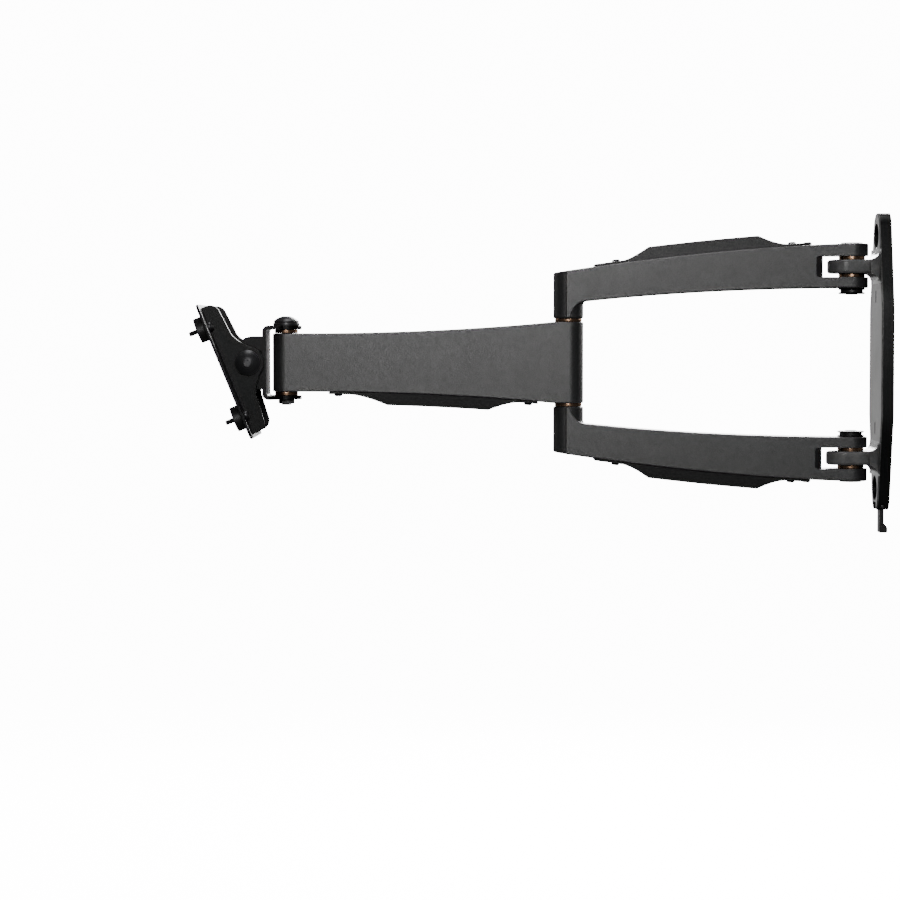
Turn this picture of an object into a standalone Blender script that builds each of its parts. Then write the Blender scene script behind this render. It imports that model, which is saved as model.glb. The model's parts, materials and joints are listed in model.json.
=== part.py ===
# Full motion wall mount for a small flat display.
# The wall lies at Y = 0 and the mount reaches along -Y. Z is up and X runs along the wall.
# At rest both links point straight out and the display plate leans forward.
# Lengths are in metres and angles in degrees.

import math

import bmesh
import bpy
from mathutils import Matrix, Vector

# Fits shared by every piece
GAP = 0.0003
PAST = 0.010

# Cast wall plate
PLATE_WIDTH = 0.056
PLATE_THICKNESS = 0.010
PLATE_FLANK = 0.084
PLATE_END_RADIUS = 0.013
ANCHOR_INSET = 0.0185
ANCHOR_PAST_PIVOT = 0.0245
ANCHOR_HOLE = 0.009
ANCHOR_RECESS = 0.0185
ANCHOR_RECESS_DEPTH = 0.004
TIE_SLOT_HEIGHT = 0.010
TIE_SLOT_WIDTH = 0.0036
TIE_SLOT_BELOW_PIVOT = 0.024

# Knuckle tongues on the plate, and the pins, bushes and washers of the wall pivots
PIVOT_REACH = 0.0295
PIVOT_SPACING = 0.153
TONGUE_HEIGHT = 0.011
TONGUE_WIDTH = 0.030
TONGUE_NOSE = 0.0197
TONGUE_ROOT_RADIUS = 0.006
TONGUE_ROOT_FLARE = 0.0045
PIN_DIAMETER = 0.010
PIN_HEAD_DIAMETER = 0.0178
PIN_HEAD_HEIGHT = 0.0035
PIN_HEAD_PROUD = 0.0008
PIN_EDGE = 0.0006
BUSH_WALL = 0.0017
WASHER_DIAMETER = 0.0208
WASHER_THICKNESS = 0.0024
NUT_DIAMETER = 0.0216
NUT_HEIGHT = 0.0045
NUT_NECK = 0.0024
NUT_GROOVE = 0.0015

# Catch under the plate
CATCH_WIDTH = 0.0114
CATCH_THICKNESS = 0.0034
CATCH_DROP = 0.0213
CATCH_FOOT = 0.0030
CATCH_EYE = 0.0028
CATCH_NICK = 0.0006
CATCH_PIN_DIAMETER = 0.003
CATCH_PIN_RISE = 0.0042
CATCH_SPRING_WIRE = 0.0008
CATCH_SPRING_TURNS = 3

# Pair of frame arms
ARM_LENGTH = 0.227
ARM_WIDTH = 0.026
ARM_OUTER_LEG = 0.010
ARM_INNER_LEG = 0.0085
ARM_ELBOW_HEIGHT = 0.0257
ARM_STEP_FILLET = 0.003
ARM_OUTER_CURVE = 1.65
ARM_INNER_CURVE = 2.2
FORK_CLEARANCE = 0.0035
FORK_END_BULGE = 0.0061
FORK_CORNER = 0.0025
CHANNEL_WIDTH = 0.014
CHANNEL_FLOOR = 0.008
CHANNEL_WALL_INSET = 0.0215
CHANNEL_ELBOW_INSET = 0.0285

# Snap covers over the cable channels
COVER_WIDTH = 0.021
COVER_WALL = 0.002
COVER_FLANGE = 0.0016
COVER_RISE = 0.0102
COVER_WALL_FOOT = 0.0131
COVER_WALL_TOP = 0.0357
COVER_ELBOW_FOOT = 0.0224
COVER_ELBOW_TOP = 0.0432
CABLE_NOTCH_WIDTH = 0.008
CABLE_NOTCH_INSET = 0.004
CABLE_NOTCH_LENGTH = 0.0165
COVER_WALL_END = 0.0405
COVER_ELBOW_END = 0.0206
COVER_SCREW_INSET = 0.0075
COVER_SCREW_ELBOW_INSET = 0.0176
COVER_SCREW_HEAD = 0.0064
COVER_SCREW_HEIGHT = 0.0017
COVER_SCREW_SHANK = 0.0028
COVER_SCREW_LENGTH = 0.008
CLIP_LENGTH = 0.0066
CLIP_WIDTH = 0.016
CLIP_HEIGHT = 0.0025

# Elbow
ELBOW_RADIUS = 0.012
BARREL_LENGTH = 0.0109
BARREL_LIP = 0.0002
SHAFT_DIAMETER = 0.010
SHAFT_HEAD_DIAMETER = 0.015
SHAFT_HEAD_HEIGHT = 0.004
ELBOW_WASHER_THICKNESS = 0.002
ELBOW_WASHER_DIAMETER = 0.0215
ELBOW_BUSH_LENGTH = 0.014
PLUG_HEIGHT = 0.0024
PLUG_DEPTH = 0.0038

# Forearm
FOREARM_LENGTH = 0.2256
FOREARM_ELBOW_HEIGHT = 0.0648
FOREARM_SWIVEL_HEIGHT = 0.0466
FOREARM_CHANNEL_WIDTH = 0.013
FOREARM_CHANNEL_ROOF = 0.005
FOREARM_COVER_NEAR = 0.0245
FOREARM_COVER_FAR = 0.0340
FOREARM_COVER_RISE = 0.0098
FOREARM_ELBOW_FOOT = 0.0150
FOREARM_ELBOW_TOP = 0.0397
FOREARM_SWIVEL_FOOT = 0.0172
FOREARM_SWIVEL_TOP = 0.0468
FOREARM_ELBOW_INSET = 0.0205
FOREARM_SWIVEL_INSET = 0.0195
FOREARM_CURVE = 2.1

# Swivel joint and its bracket
SWIVEL_RADIUS = 0.0108
SWIVEL_BOLT = 0.008
SWIVEL_BUSH_LENGTH = 0.010
SWIVEL_BUSH_WALL = 0.0014
SWIVEL_WASHER_THICKNESS = 0.0025
SWIVEL_WASHER_DIAMETER = 0.0185
SHEET = 0.003
BEND_RADIUS = 0.0048
WEB_OFFSET = 0.0146
BRACKET_WIDTH = 0.056
FLANGE_END = 0.0122
FLAT_WASHER_DIAMETER = 0.021
FLAT_WASHER_THICKNESS = 0.0016
DOME_DIAMETER = 0.020
DOME_HEIGHT = 0.0056
DOME_LIP = 0.0008
SWIVEL_NUT_ACROSS = 0.011
SWIVEL_NUT_HEIGHT = 0.0032
BOLT_END_PROUD = 0.0010

# Tilt joint
TILT_OFFSET = 0.0288
TILT_AT_REST = 22.2
YOKE_HALF_HEIGHT = 0.021
YOKE_FRONT = 0.0135
YOKE_SETBACK = 0.004
RELIEF_HEIGHT = 0.0055
RELIEF_WIDTH = 0.0027
RELIEF_RISE = 0.007
TILT_BOLT = 0.008
TILT_WASHER_THICKNESS = 0.0014
TILT_WASHER_DIAMETER = 0.022
TILT_TUBE_DIAMETER = 0.013
TILT_NUT_ACROSS = 0.013
TILT_NUT_HEIGHT = 0.006

# Display plate
ADAPTER_OFFSET = 0.017
ADAPTER_THICKNESS = 0.0022
ADAPTER_HEIGHT = 0.113
ADAPTER_WIDTH = 0.115
ADAPTER_CORNER = 0.008
HOLE_SPACING_SMALL = 0.075
HOLE_SPACING_LARGE = 0.100
DISPLAY_HOLE = 0.0052
WINDOW_WIDTH = 0.036
WINDOW_HEIGHT = 0.048
WINDOW_CORNER = 0.008
EAR_BOSS_RADIUS = 0.0128
EAR_HALF_LENGTH = 0.0536
EAR_TIP_RADIUS = 0.008
EAR_TIP_DEPTH = 0.012
EAR_WAIST_DEPTH = 0.0134
EAR_WAIST = 0.025
EAR_NICK_DEPTH = 0.0024
EAR_NICK_HEIGHT = 0.0042
SPACER_DIAMETER = 0.020
SPACER_LENGTH = 0.007
SCREW_DIAMETER = 0.004
SCREW_HEAD_DIAMETER = 0.0078
SCREW_HEAD_HEIGHT = 0.003
SCREW_PROUD = 0.007

# Facets round a full turn
FINE = 28
PLAIN = 20
COARSE = 12

# Bodies with so many cuts through shared faces that the exact solver leaves open edges
MANY_CUTS = ("wall_plate", "upper_arm", "lower_arm", "forearm")

# Worked out from the sizes above
PIVOT_Z = PIVOT_SPACING / 2
ANCHOR_Z = PIVOT_Z + ANCHOR_PAST_PIVOT
PLATE_HEIGHT = 2 * (ANCHOR_Z + ANCHOR_INSET)
TIE_SLOT_Z = PIVOT_Z - TIE_SLOT_BELOW_PIVOT
PIN_BORE = PIN_DIAMETER + 2 * GAP
BUSH_OUTER = PIN_BORE + 2 * BUSH_WALL
BUSH_HOUSING = BUSH_OUTER + 2 * GAP
FORK_SLOT = TONGUE_HEIGHT + 2 * (WASHER_THICKNESS + 2 * GAP)
FORK_DEPTH = TONGUE_NOSE + FORK_CLEARANCE + FORK_END_BULGE
ARM_TOP_AT_WALL = PIVOT_Z + FORK_SLOT / 2 + ARM_OUTER_LEG
ARM_BOTTOM_AT_WALL = PIVOT_Z - FORK_SLOT / 2 - ARM_INNER_LEG
ARM_WALL_END = ARM_WIDTH / 2
ARM_ELBOW_END = -(ARM_LENGTH + ELBOW_RADIUS)
ARM_INNER_START = -ARM_LENGTH + ELBOW_RADIUS + ARM_STEP_FILLET
BARREL_END = FOREARM_ELBOW_HEIGHT / 2 + ELBOW_WASHER_THICKNESS + 2 * GAP
ARM_STEP_AT_ELBOW = BARREL_END + BARREL_LENGTH
ARM_TOP_AT_ELBOW = ARM_STEP_AT_ELBOW + ARM_ELBOW_HEIGHT
SHAFT_BORE = SHAFT_DIAMETER + 2 * GAP
SHAFT_BUSH_OUTER = SHAFT_BORE + 2 * BUSH_WALL
SHAFT_HOUSING = SHAFT_BUSH_OUTER + 2 * GAP
SWIVEL_BORE = SWIVEL_BOLT + 2 * GAP
SWIVEL_BUSH_OUTER = SWIVEL_BORE + 2 * SWIVEL_BUSH_WALL
SWIVEL_HOUSING = SWIVEL_BUSH_OUTER + 2 * GAP
BRACKET_INNER = FOREARM_SWIVEL_HEIGHT / 2 + SWIVEL_WASHER_THICKNESS + 2 * GAP
BRACKET_OUTER = BRACKET_INNER + SHEET
WEB_OUTER = WEB_OFFSET + SHEET
YOKE_OUTER = BRACKET_WIDTH / 2
YOKE_INNER = YOKE_OUTER - SHEET
EAR_INNER = YOKE_OUTER + TILT_WASHER_THICKNESS + 2 * GAP
EAR_OUTER = EAR_INNER + SHEET
TILT_BORE = TILT_BOLT + 2 * GAP
ADAPTER_FRONT = ADAPTER_OFFSET + ADAPTER_THICKNESS
CATCH_PIN_Z = -PLATE_HEIGHT / 2 + CATCH_PIN_RISE
CATCH_PIN_Y = -PLATE_THICKNESS / 2


def clear_scene():
    for obj in list(bpy.data.objects):
        bpy.data.objects.remove(obj)


def material(name, colour, roughness, metallic=0.0):
    made = bpy.data.materials.new(name)
    made.use_nodes = True
    shader = made.node_tree.nodes["Principled BSDF"]
    shader.inputs["Base Color"].default_value = (*colour, 1.0)
    shader.inputs["Roughness"].default_value = roughness
    shader.inputs["Metallic"].default_value = metallic
    return made


def axis_empty(name, location, parent=None, lean=0.0):
    empty = bpy.data.objects.new(name, None)
    bpy.context.scene.collection.objects.link(empty)
    empty.location = location
    empty.rotation_euler = (math.radians(lean), 0, 0)
    empty.parent = parent
    return empty


def arc(centre, radius, start, end, steps):
    """Points from start to end degrees round centre, both ends included."""
    turns = [math.radians(start + (end - start) * n / steps) for n in range(steps + 1)]
    return [(centre[0] + radius * math.cos(a), centre[1] + radius * math.sin(a)) for a in turns]


def rounded_box(centre, width, height, radius, steps=4):
    """Rectangle with round corners, anticlockwise."""
    points = []
    for across, up, start in ((1, 1, 0), (-1, 1, 90), (-1, -1, 180), (1, -1, 270)):
        corner = (
            centre[0] + across * (width / 2 - radius),
            centre[1] + up * (height / 2 - radius),
        )
        points += arc(corner, radius, start, start + 90, steps)
    return points


def hexagon(across):
    return arc((0, 0), across / math.sqrt(3), 0, 360, 6)[:-1]


def ease(start, end, share, power):
    """Runs from start to end and levels out as it gets there."""
    return end + (start - end) * (1 - share) ** power


def add_object(name, shape, parent, finish, sharp=35):
    bmesh.ops.recalc_face_normals(shape, faces=shape.faces)
    mesh = bpy.data.meshes.new(name)
    shape.to_mesh(mesh)
    shape.free()
    mesh.shade_smooth()
    mesh.set_sharp_from_angle(angle=math.radians(sharp))
    obj = bpy.data.objects.new(name, mesh)
    bpy.context.scene.collection.objects.link(obj)
    obj.parent = parent
    if finish:
        mesh.materials.append(finish)
    return obj


def prism(name, outline, axis, low, high, parent=None, finish=None):
    """Extrudes an outline along an axis. The outline holds (y, z) for X, (x, z) for Y and
    (x, y) for Z."""
    spot = {
        "X": lambda a, b: (low, a, b),
        "Y": lambda a, b: (a, low, b),
        "Z": lambda a, b: (a, b, low),
    }[axis]
    shape = bmesh.new()
    face = shape.faces.new([shape.verts.new(spot(a, b)) for a, b in outline])
    made = bmesh.ops.extrude_face_region(shape, geom=[face])
    far = [v for v in made["geom"] if isinstance(v, bmesh.types.BMVert)]
    along = {"X": (1, 0, 0), "Y": (0, 1, 0), "Z": (0, 0, 1)}[axis]
    bmesh.ops.translate(shape, verts=far, vec=Vector(along) * (high - low))
    return add_object(name, shape, parent, finish)


def turned(name, profile, sides, parent=None, finish=None, place=None):
    """Spins a closed profile of (radius, height) round Z, then puts it at place."""
    shape = bmesh.new()
    points = [shape.verts.new((r, 0, h)) for r, h in profile]
    edges = [shape.edges.new((a, b)) for a, b in zip(points, points[1:] + points[:1])]
    bmesh.ops.spin(
        shape,
        geom=points + edges,
        cent=(0, 0, 0),
        axis=(0, 0, 1),
        angle=math.tau,
        steps=sides,
        use_merge=True,
    )
    bmesh.ops.remove_doubles(shape, verts=shape.verts, dist=1e-7)
    loose = [e for e in shape.edges if not e.link_faces]
    bmesh.ops.delete(shape, geom=loose, context="EDGES")
    if place is not None:
        bmesh.ops.transform(shape, matrix=place, verts=shape.verts)
    return add_object(name, shape, parent, finish)


def tube_profile(outer, inner, low, high):
    return [(inner / 2, low), (outer / 2, low), (outer / 2, high), (inner / 2, high)]


def rod_profile(diameter, low, high):
    return [(0, low), (diameter / 2, low), (diameter / 2, high), (0, high)]


def modify(target, other, operation):
    change = target.modifiers.new(f"{operation} {other.name}", "BOOLEAN")
    change.operation = operation
    change.solver = "MANIFOLD" if target.name in MANY_CUTS else "EXACT"
    change.object = other
    other.hide_render = True
    other.display_type = "WIRE"
    other.parent = other.parent or target.parent


def cut(target, cutter):
    modify(target, cutter, "DIFFERENCE")


def fuse(target, piece):
    modify(target, piece, "UNION")


def keep_common(target, piece):
    modify(target, piece, "INTERSECT")


def drill(target, name, diameter, low, high, place=None, sides=PLAIN):
    cutter = turned(name, rod_profile(diameter, low, high), sides, target.parent, None, place)
    cut(target, cutter)


def along_x(y=0.0, z=0.0):
    """Turns Z into X, and moves to y and z."""
    return Matrix.Translation((0, y, z)) @ Matrix.Rotation(math.pi / 2, 4, "Y")


def along_y(x=0.0, y=0.0, z=0.0):
    """Turns Z into -Y, and moves to a point."""
    return Matrix.Translation((x, y, z)) @ Matrix.Rotation(math.pi / 2, 4, "X")


def sides():
    """The upper and the lower half of what the mount has twice."""
    return (("upper", 1), ("lower", -1))


def flip(points, side):
    """Mirrors an outline's second coordinate for the lower half."""
    return [(a, side * b) for a, b in points]


# Wall plate and its tongues


def plate_outline():
    """Full width over the flank, straight tapers, and round ends."""
    half, flank = PLATE_WIDTH / 2, PLATE_FLANK / 2
    centre = PLATE_HEIGHT / 2 - PLATE_END_RADIUS
    reach = math.hypot(half, centre - flank)
    towards = math.atan2(flank - centre, half)
    start = math.degrees(towards + math.acos(PLATE_END_RADIUS / reach))
    top = arc((0, centre), PLATE_END_RADIUS, start, 180 - start, 12)
    bottom = arc((0, -centre), PLATE_END_RADIUS, 180 + start, 360 - start, 12)
    return [(half, flank), *top, (-half, flank), (-half, -flank), *bottom, (half, -flank)]


def tongue(plate, label, side):
    half = TONGUE_WIDTH / 2
    into_plate = -PLATE_THICKNESS / 2
    nose = (0, -PIVOT_REACH - TONGUE_NOSE + half)
    plan = [(half, into_plate), (-half, into_plate), *arc(nose, half, 180, 360, 14)]
    low = side * PIVOT_Z - TONGUE_HEIGHT / 2
    fuse(plate, prism(f"{label}_tongue_form", plan, "Z", low, low + TONGUE_HEIGHT))
    root = TONGUE_ROOT_RADIUS
    face = -PLATE_THICKNESS
    level = TONGUE_HEIGHT / 2
    above = arc((face - root, level + root), root, 0, -90, 5)
    below = [(y, -z) for y, z in reversed(above)]
    inside = [(into_plate, -level - root), (into_plate, level + root)]
    flare = [(y, side * PIVOT_Z + z) for y, z in inside + above + below]
    spread_form = prism(f"{label}_root_form", flare, "X", -PLATE_WIDTH, PLATE_WIDTH)
    keep_common(spread_form, tongue_root_plan(f"{label}_root_plan", half))
    fuse(plate, spread_form)
    bore = Matrix.Translation((0, -PIVOT_REACH, low))
    drill(plate, f"{label}_tongue_bore", BUSH_HOUSING, -GAP, TONGUE_HEIGHT + GAP, bore)


def tongue_root_plan(name, half):
    """Plan of a tongue's root: it widens towards the plate in a hollow curve on each side."""
    root, flare = TONGUE_ROOT_RADIUS, TONGUE_ROOT_FLARE
    turns = [math.radians(90 * n / 6) for n in range(7)]
    face = -PLATE_THICKNESS
    right = [(half + flare * (1 - math.cos(a)), face - root * (1 - math.sin(a))) for a in turns]
    left = [(-x, y) for x, y in reversed(right)]
    outer = half + flare
    plan = right + [(outer, -PLATE_THICKNESS / 2), (-outer, -PLATE_THICKNESS / 2)] + left
    return prism(name, plan, "Z", -PLATE_HEIGHT, PLATE_HEIGHT)


def wall_plate(finish):
    plate = prism("wall_plate", plate_outline(), "Y", -PLATE_THICKNESS, 0, None, finish)
    for label, side in sides():
        tongue(plate, label, side)
        anchor = along_y(0, -PLATE_THICKNESS, side * ANCHOR_Z)
        drill(plate, f"{label}_anchor_hole", ANCHOR_HOLE, -2 * PLATE_THICKNESS, GAP, anchor)
        drill(plate, f"{label}_anchor_recess", ANCHOR_RECESS, -ANCHOR_RECESS_DEPTH, 2 * GAP, anchor)
        corner = TIE_SLOT_WIDTH / 2 - GAP
        slot = rounded_box((0, side * TIE_SLOT_Z), TIE_SLOT_WIDTH, TIE_SLOT_HEIGHT, corner, 3)
        cut(plate, prism(f"{label}_tie_slot", slot, "Y", -2 * PLATE_THICKNESS, PLATE_THICKNESS))
    catch_pocket(plate)


def catch_pocket(plate):
    """Notch across the plate's lower end, and the bore of the pin in its two cheeks."""
    half = CATCH_WIDTH / 2 + GAP
    roof = CATCH_PIN_Z + CATCH_EYE + 2 * GAP
    floor = -PLATE_HEIGHT / 2 - PLATE_THICKNESS
    ends = (PLATE_THICKNESS, -2 * PLATE_THICKNESS)
    outline = [(ends[0], floor), (ends[0], roof), (ends[1], roof), (ends[1], floor)]
    cut(plate, prism("catch_pocket", outline, "X", -half, half))
    bore = along_x(CATCH_PIN_Y, CATCH_PIN_Z)
    reach = PLATE_END_RADIUS
    drill(plate, "catch_pin_bore", CATCH_PIN_DIAMETER + 2 * GAP, -reach, reach, bore, COARSE)


def catch(parent, plastic):
    """Hook that hangs below the plate on a pin, with its foot towards the wall."""
    half = CATCH_THICKNESS / 2
    drop = -CATCH_DROP
    foot = half + CATCH_FOOT
    nick = CATCH_NICK
    neck = math.degrees(math.asin(half / CATCH_EYE))
    eye = arc((0, 0), CATCH_EYE, neck - 90, 270 - neck, 12)
    hook = [
        (-half, drop + nick),
        (-half + nick, drop),
        (foot - 2 * nick, drop),
        (foot, drop + nick),
        (foot, drop + 1.4 * CATCH_FOOT),
        (half, drop + 2.6 * CATCH_FOOT),
    ]
    width = CATCH_WIDTH / 2
    body = prism("plate_catch", eye + hook, "X", -width, width, parent, plastic)
    bore = CATCH_PIN_DIAMETER + 2 * GAP
    drill(body, "catch_bore", bore, -width - GAP, width + GAP, along_x(), COARSE)
    coil = spring_radius() + 2 * GAP
    slot_half = spring_length() / 2 + GAP
    drill(body, "catch_spring_slot", 2 * coil, -slot_half, slot_half, along_x(), COARSE)


def spring_length():
    return CATCH_SPRING_TURNS * spring_pitch()


def spring_pitch():
    return 1.05 * CATCH_SPRING_WIRE


def spring_radius():
    return CATCH_PIN_DIAMETER / 2 + GAP + CATCH_SPRING_WIRE


def catch_fittings(steel):
    place = along_x(CATCH_PIN_Y, CATCH_PIN_Z)
    chord = math.sqrt(PLATE_END_RADIUS**2 - (PLATE_END_RADIUS - CATCH_PIN_RISE) ** 2)
    reach = chord - 2 * GAP
    turned("catch_pin", rod_profile(CATCH_PIN_DIAMETER, -reach, reach), COARSE, None, steel, place)
    wire = CATCH_SPRING_WIRE / 2
    middle = CATCH_PIN_DIAMETER / 2 + GAP + wire
    pitch = spring_pitch()
    start = -pitch * (CATCH_SPRING_TURNS - 1) / 2
    outer, inner = [], []
    for turn in range(CATCH_SPRING_TURNS):
        height = start + turn * pitch
        outer += arc((middle, height), wire, -70, 70, 4)
        inner += [(middle - wire, height)]
    ends = [(inner[-1][0], inner[-1][1] + wire * 0.8), (inner[0][0], inner[0][1] - wire * 0.8)]
    turned("catch_spring", outer + ends, COARSE, None, steel, place)


def wall_pivots(arms, bronze, nut_finish, pin_finish):
    """Bush and two washers stay with the tongue. Pin and nut turn with the arms."""
    for label, side in sides():
        low = side * PIVOT_Z - TONGUE_HEIGHT / 2
        at_pivot = Matrix.Translation((0, -PIVOT_REACH, 0))
        bush = tube_profile(BUSH_OUTER, PIN_BORE, low, low + TONGUE_HEIGHT)
        turned(f"wall_bush_{label}", bush, PLAIN, None, bronze, at_pivot)
        face = side * (TONGUE_HEIGHT / 2 + GAP)
        for place, offset in (("outer", face), ("inner", -face)):
            near = side * PIVOT_Z + offset
            far = near + math.copysign(WASHER_THICKNESS, offset)
            washer = tube_profile(WASHER_DIAMETER, PIN_BORE, min(near, far), max(near, far))
            turned(f"wall_washer_{label}_{place}", washer, PLAIN, None, bronze, at_pivot)
        wall_pin(arms, label, side, pin_finish)
        wall_nut(arms, label, side, nut_finish)


def wall_pin(arms, label, side, finish):
    shank, head = PIN_DIAMETER / 2, PIN_HEAD_DIAMETER / 2
    top = ARM_TOP_AT_WALL + PIN_HEAD_PROUD
    end = ARM_BOTTOM_AT_WALL - GAP - NUT_HEIGHT - BOLT_END_PROUD / 2
    profile = [
        (0, end),
        (shank - PIN_EDGE, end),
        (shank, end + PIN_EDGE),
        (shank, top - PIN_HEAD_HEIGHT),
        (head, top - PIN_HEAD_HEIGHT),
        (head, top - PIN_EDGE),
        (head - PIN_EDGE, top),
        (0, top),
    ]
    turned(f"wall_pin_{label}", flip(profile, side), PLAIN, arms, finish)


def wall_nut(arms, label, side, finish):
    """Round nut like a spool: two discs with a neck between them."""
    top = ARM_BOTTOM_AT_WALL - GAP
    bottom = top - NUT_HEIGHT
    disc = (NUT_HEIGHT - NUT_GROOVE) / 2
    rim, inner = NUT_DIAMETER / 2, PIN_BORE / 2
    profile = [
        (inner, bottom),
        (rim - NUT_NECK / 3, bottom),
        (rim, bottom + disc / 2),
        (rim - NUT_NECK / 3, bottom + disc),
        (rim - NUT_NECK, bottom + disc),
        (rim - NUT_NECK, top - disc),
        (rim - NUT_NECK / 3, top - disc),
        (rim, top - disc / 2),
        (rim - NUT_NECK / 3, top),
        (inner, top),
    ]
    turned(f"wall_nut_{label}", flip(profile, side), PLAIN, arms, finish)


# Frame arms, in a frame whose Z axis is the wall pivot


def arm_outer_edge(y):
    share = (y - ARM_ELBOW_END) / (ARM_WALL_END - ARM_ELBOW_END)
    return ease(ARM_TOP_AT_ELBOW, ARM_TOP_AT_WALL, min(max(share, 0), 1), ARM_OUTER_CURVE)


def arm_inner_edge(y):
    share = (y - ARM_INNER_START) / (ARM_WALL_END - ARM_INNER_START)
    start = ARM_STEP_AT_ELBOW + ARM_STEP_FILLET
    return ease(start, ARM_BOTTOM_AT_WALL, min(max(share, 0), 1), ARM_INNER_CURVE)


def spread(start, end, steps):
    return [start + (end - start) * n / steps for n in range(steps + 1)]


def arm_side_outline():
    outer = [(y, arm_outer_edge(y)) for y in spread(ARM_WALL_END + GAP, ARM_ELBOW_END - GAP, 16)]
    inner = [(y, arm_inner_edge(y)) for y in spread(ARM_INNER_START, ARM_WALL_END + GAP, 12)]
    corner = (ARM_INNER_START, ARM_STEP_AT_ELBOW)
    fillet = arc(corner, ARM_STEP_FILLET, 180, 90, 4)
    return outer + [(ARM_ELBOW_END - GAP, ARM_STEP_AT_ELBOW)] + fillet[:-1] + inner


def arm_plan_outline():
    elbow = ELBOW_RADIUS - BARREL_LIP
    return arc((0, 0), ARM_WIDTH / 2, 0, 180, 16) + arc((0, -ARM_LENGTH), elbow, 180, 360, 16)


def frame_arm(label, side, arms, finish):
    outline = flip(arm_side_outline(), side)
    body = prism(f"{label}_arm", outline, "X", -ARM_WIDTH, ARM_WIDTH, arms, finish)
    ends = sorted((side * BARREL_END, side * 2 * ARM_TOP_AT_WALL))
    keep_common(body, prism(f"{label}_arm_plan", arm_plan_outline(), "Z", *ends, arms))
    at_elbow = Matrix.Translation((0, -ARM_LENGTH, 0))
    into_body = ARM_STEP_AT_ELBOW + PAST
    barrel = flip(rod_profile(2 * ELBOW_RADIUS, BARREL_END, into_body), side)
    fuse(body, turned(f"{label}_barrel_form", barrel, FINE, arms, None, at_elbow))
    slot_length = FORK_DEPTH + ARM_WALL_END + 2 * FORK_CORNER
    slot_centre = (slot_length / 2 - FORK_DEPTH, side * PIVOT_Z)
    slot = rounded_box(slot_centre, slot_length, FORK_SLOT, FORK_CORNER)
    cut(body, prism(f"{label}_fork_slot", slot, "X", -2 * ARM_WIDTH, 2 * ARM_WIDTH, arms))
    fuse(body, fork_end(label, side, arms))
    cut(body, cable_channel(label, side, arms))
    above = ARM_TOP_AT_WALL + PAST
    bore = flip(rod_profile(PIN_BORE, ARM_BOTTOM_AT_WALL - PAST, above), side)
    cut(body, turned(f"{label}_pin_bore", bore, PLAIN, arms))
    seat = ARM_TOP_AT_WALL + PIN_HEAD_PROUD - PIN_HEAD_HEIGHT - GAP
    recess = flip(rod_profile(PIN_HEAD_DIAMETER + 2 * GAP, seat, above), side)
    cut(body, turned(f"{label}_pin_recess", recess, PLAIN, arms))
    shaft = flip(rod_profile(SHAFT_BORE, BARREL_END - PAST, above), side)
    cut(body, turned(f"{label}_shaft_bore", shaft, PLAIN, arms, None, at_elbow))
    head = flip(rod_profile(SHAFT_HEAD_DIAMETER + 2 * GAP, shaft_seat() - GAP, above), side)
    cut(body, turned(f"{label}_shaft_recess", head, PLAIN, arms, None, at_elbow))
    for place, y in cover_screw_places():
        spot = edge_place(y, arm_outer_edge, side)
        screw_hole(body, f"{label}_{place}_thread", spot)


def screw_hole(target, name, spot):
    depth = COVER_SCREW_LENGTH + 2 * GAP
    drill(target, name, COVER_SCREW_SHANK + 2 * GAP, -depth, PAST, spot, COARSE)


def fork_end(label, side, arms):
    """The slot's inner end bulges towards the pin, between the two side faces of the arm."""
    chord = ARM_WIDTH / 2 - 2 * GAP
    radius = (chord**2 + FORK_END_BULGE**2) / (2 * FORK_END_BULGE)
    sweep = math.degrees(math.asin(chord / radius))
    centre = (0, -FORK_DEPTH + FORK_END_BULGE - radius)
    bulge = arc(centre, radius, 90 - sweep, 90 + sweep, 10)
    back = -FORK_DEPTH - FORK_CORNER
    plan = bulge + [(-chord, back), (chord, back)]
    reach = FORK_SLOT / 2 + GAP
    low = side * PIVOT_Z - reach
    return prism(f"{label}_fork_end", plan, "Z", low, low + 2 * reach, arms)


def cable_channel(label, side, arms):
    near, far = channel_ends()
    floor = [(y, arm_inner_edge(y) + CHANNEL_FLOOR) for y in spread(near, far, 8)]
    above = ARM_TOP_AT_WALL + PAST
    outline = floor + [(far, above), (near, above)]
    half = CHANNEL_WIDTH / 2
    return prism(f"{label}_channel", flip(outline, side), "X", -half, half, arms)


def channel_ends():
    """The channel runs between the foot of the cover's hump at each end."""
    near = -COVER_WALL_END - CHANNEL_WALL_INSET
    far = -ARM_LENGTH + COVER_ELBOW_END + CHANNEL_ELBOW_INSET
    return (near, far)


def shaft_seat():
    """Height at which the elbow shaft's head sits."""
    return ARM_TOP_AT_ELBOW - PLUG_DEPTH - SHAFT_HEAD_HEIGHT


def edge_place(y, edge, side, lift=0.0):
    """A place on a sloping edge, with Z square to the edge and pointing out of it."""
    step = 0.002
    slope = math.atan2(edge(y + step) - edge(y - step), 2 * step)
    turn = slope if side > 0 else math.pi - slope
    normal = Vector((0, -math.sin(slope), math.cos(slope)))
    point = Vector((0, y, edge(y))) + normal * lift
    return Matrix.Translation((0, point.y, side * point.z)) @ Matrix.Rotation(turn, 4, "X")


def cover_screw_places():
    wall = -COVER_WALL_END - COVER_SCREW_INSET
    elbow = -ARM_LENGTH + COVER_ELBOW_END + COVER_SCREW_ELBOW_INSET
    return (("wall", wall), ("elbow", elbow))


def hump(edge, foot_a, top_a, top_b, foot_b, rise, base):
    """Raised part of a cover: eased up from each foot, straight between the two tops."""
    steps, power = 5, 1.5
    slopes = []
    for foot, top in ((foot_a, top_a), (foot_b, top_b)):
        lifts = [base + (rise - base) * (n / steps) ** power for n in range(steps + 1)]
        slopes.append([(y, edge(y) + lift) for y, lift in zip(spread(foot, top, steps), lifts)])
    return slopes[0] + slopes[1][::-1]


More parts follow.
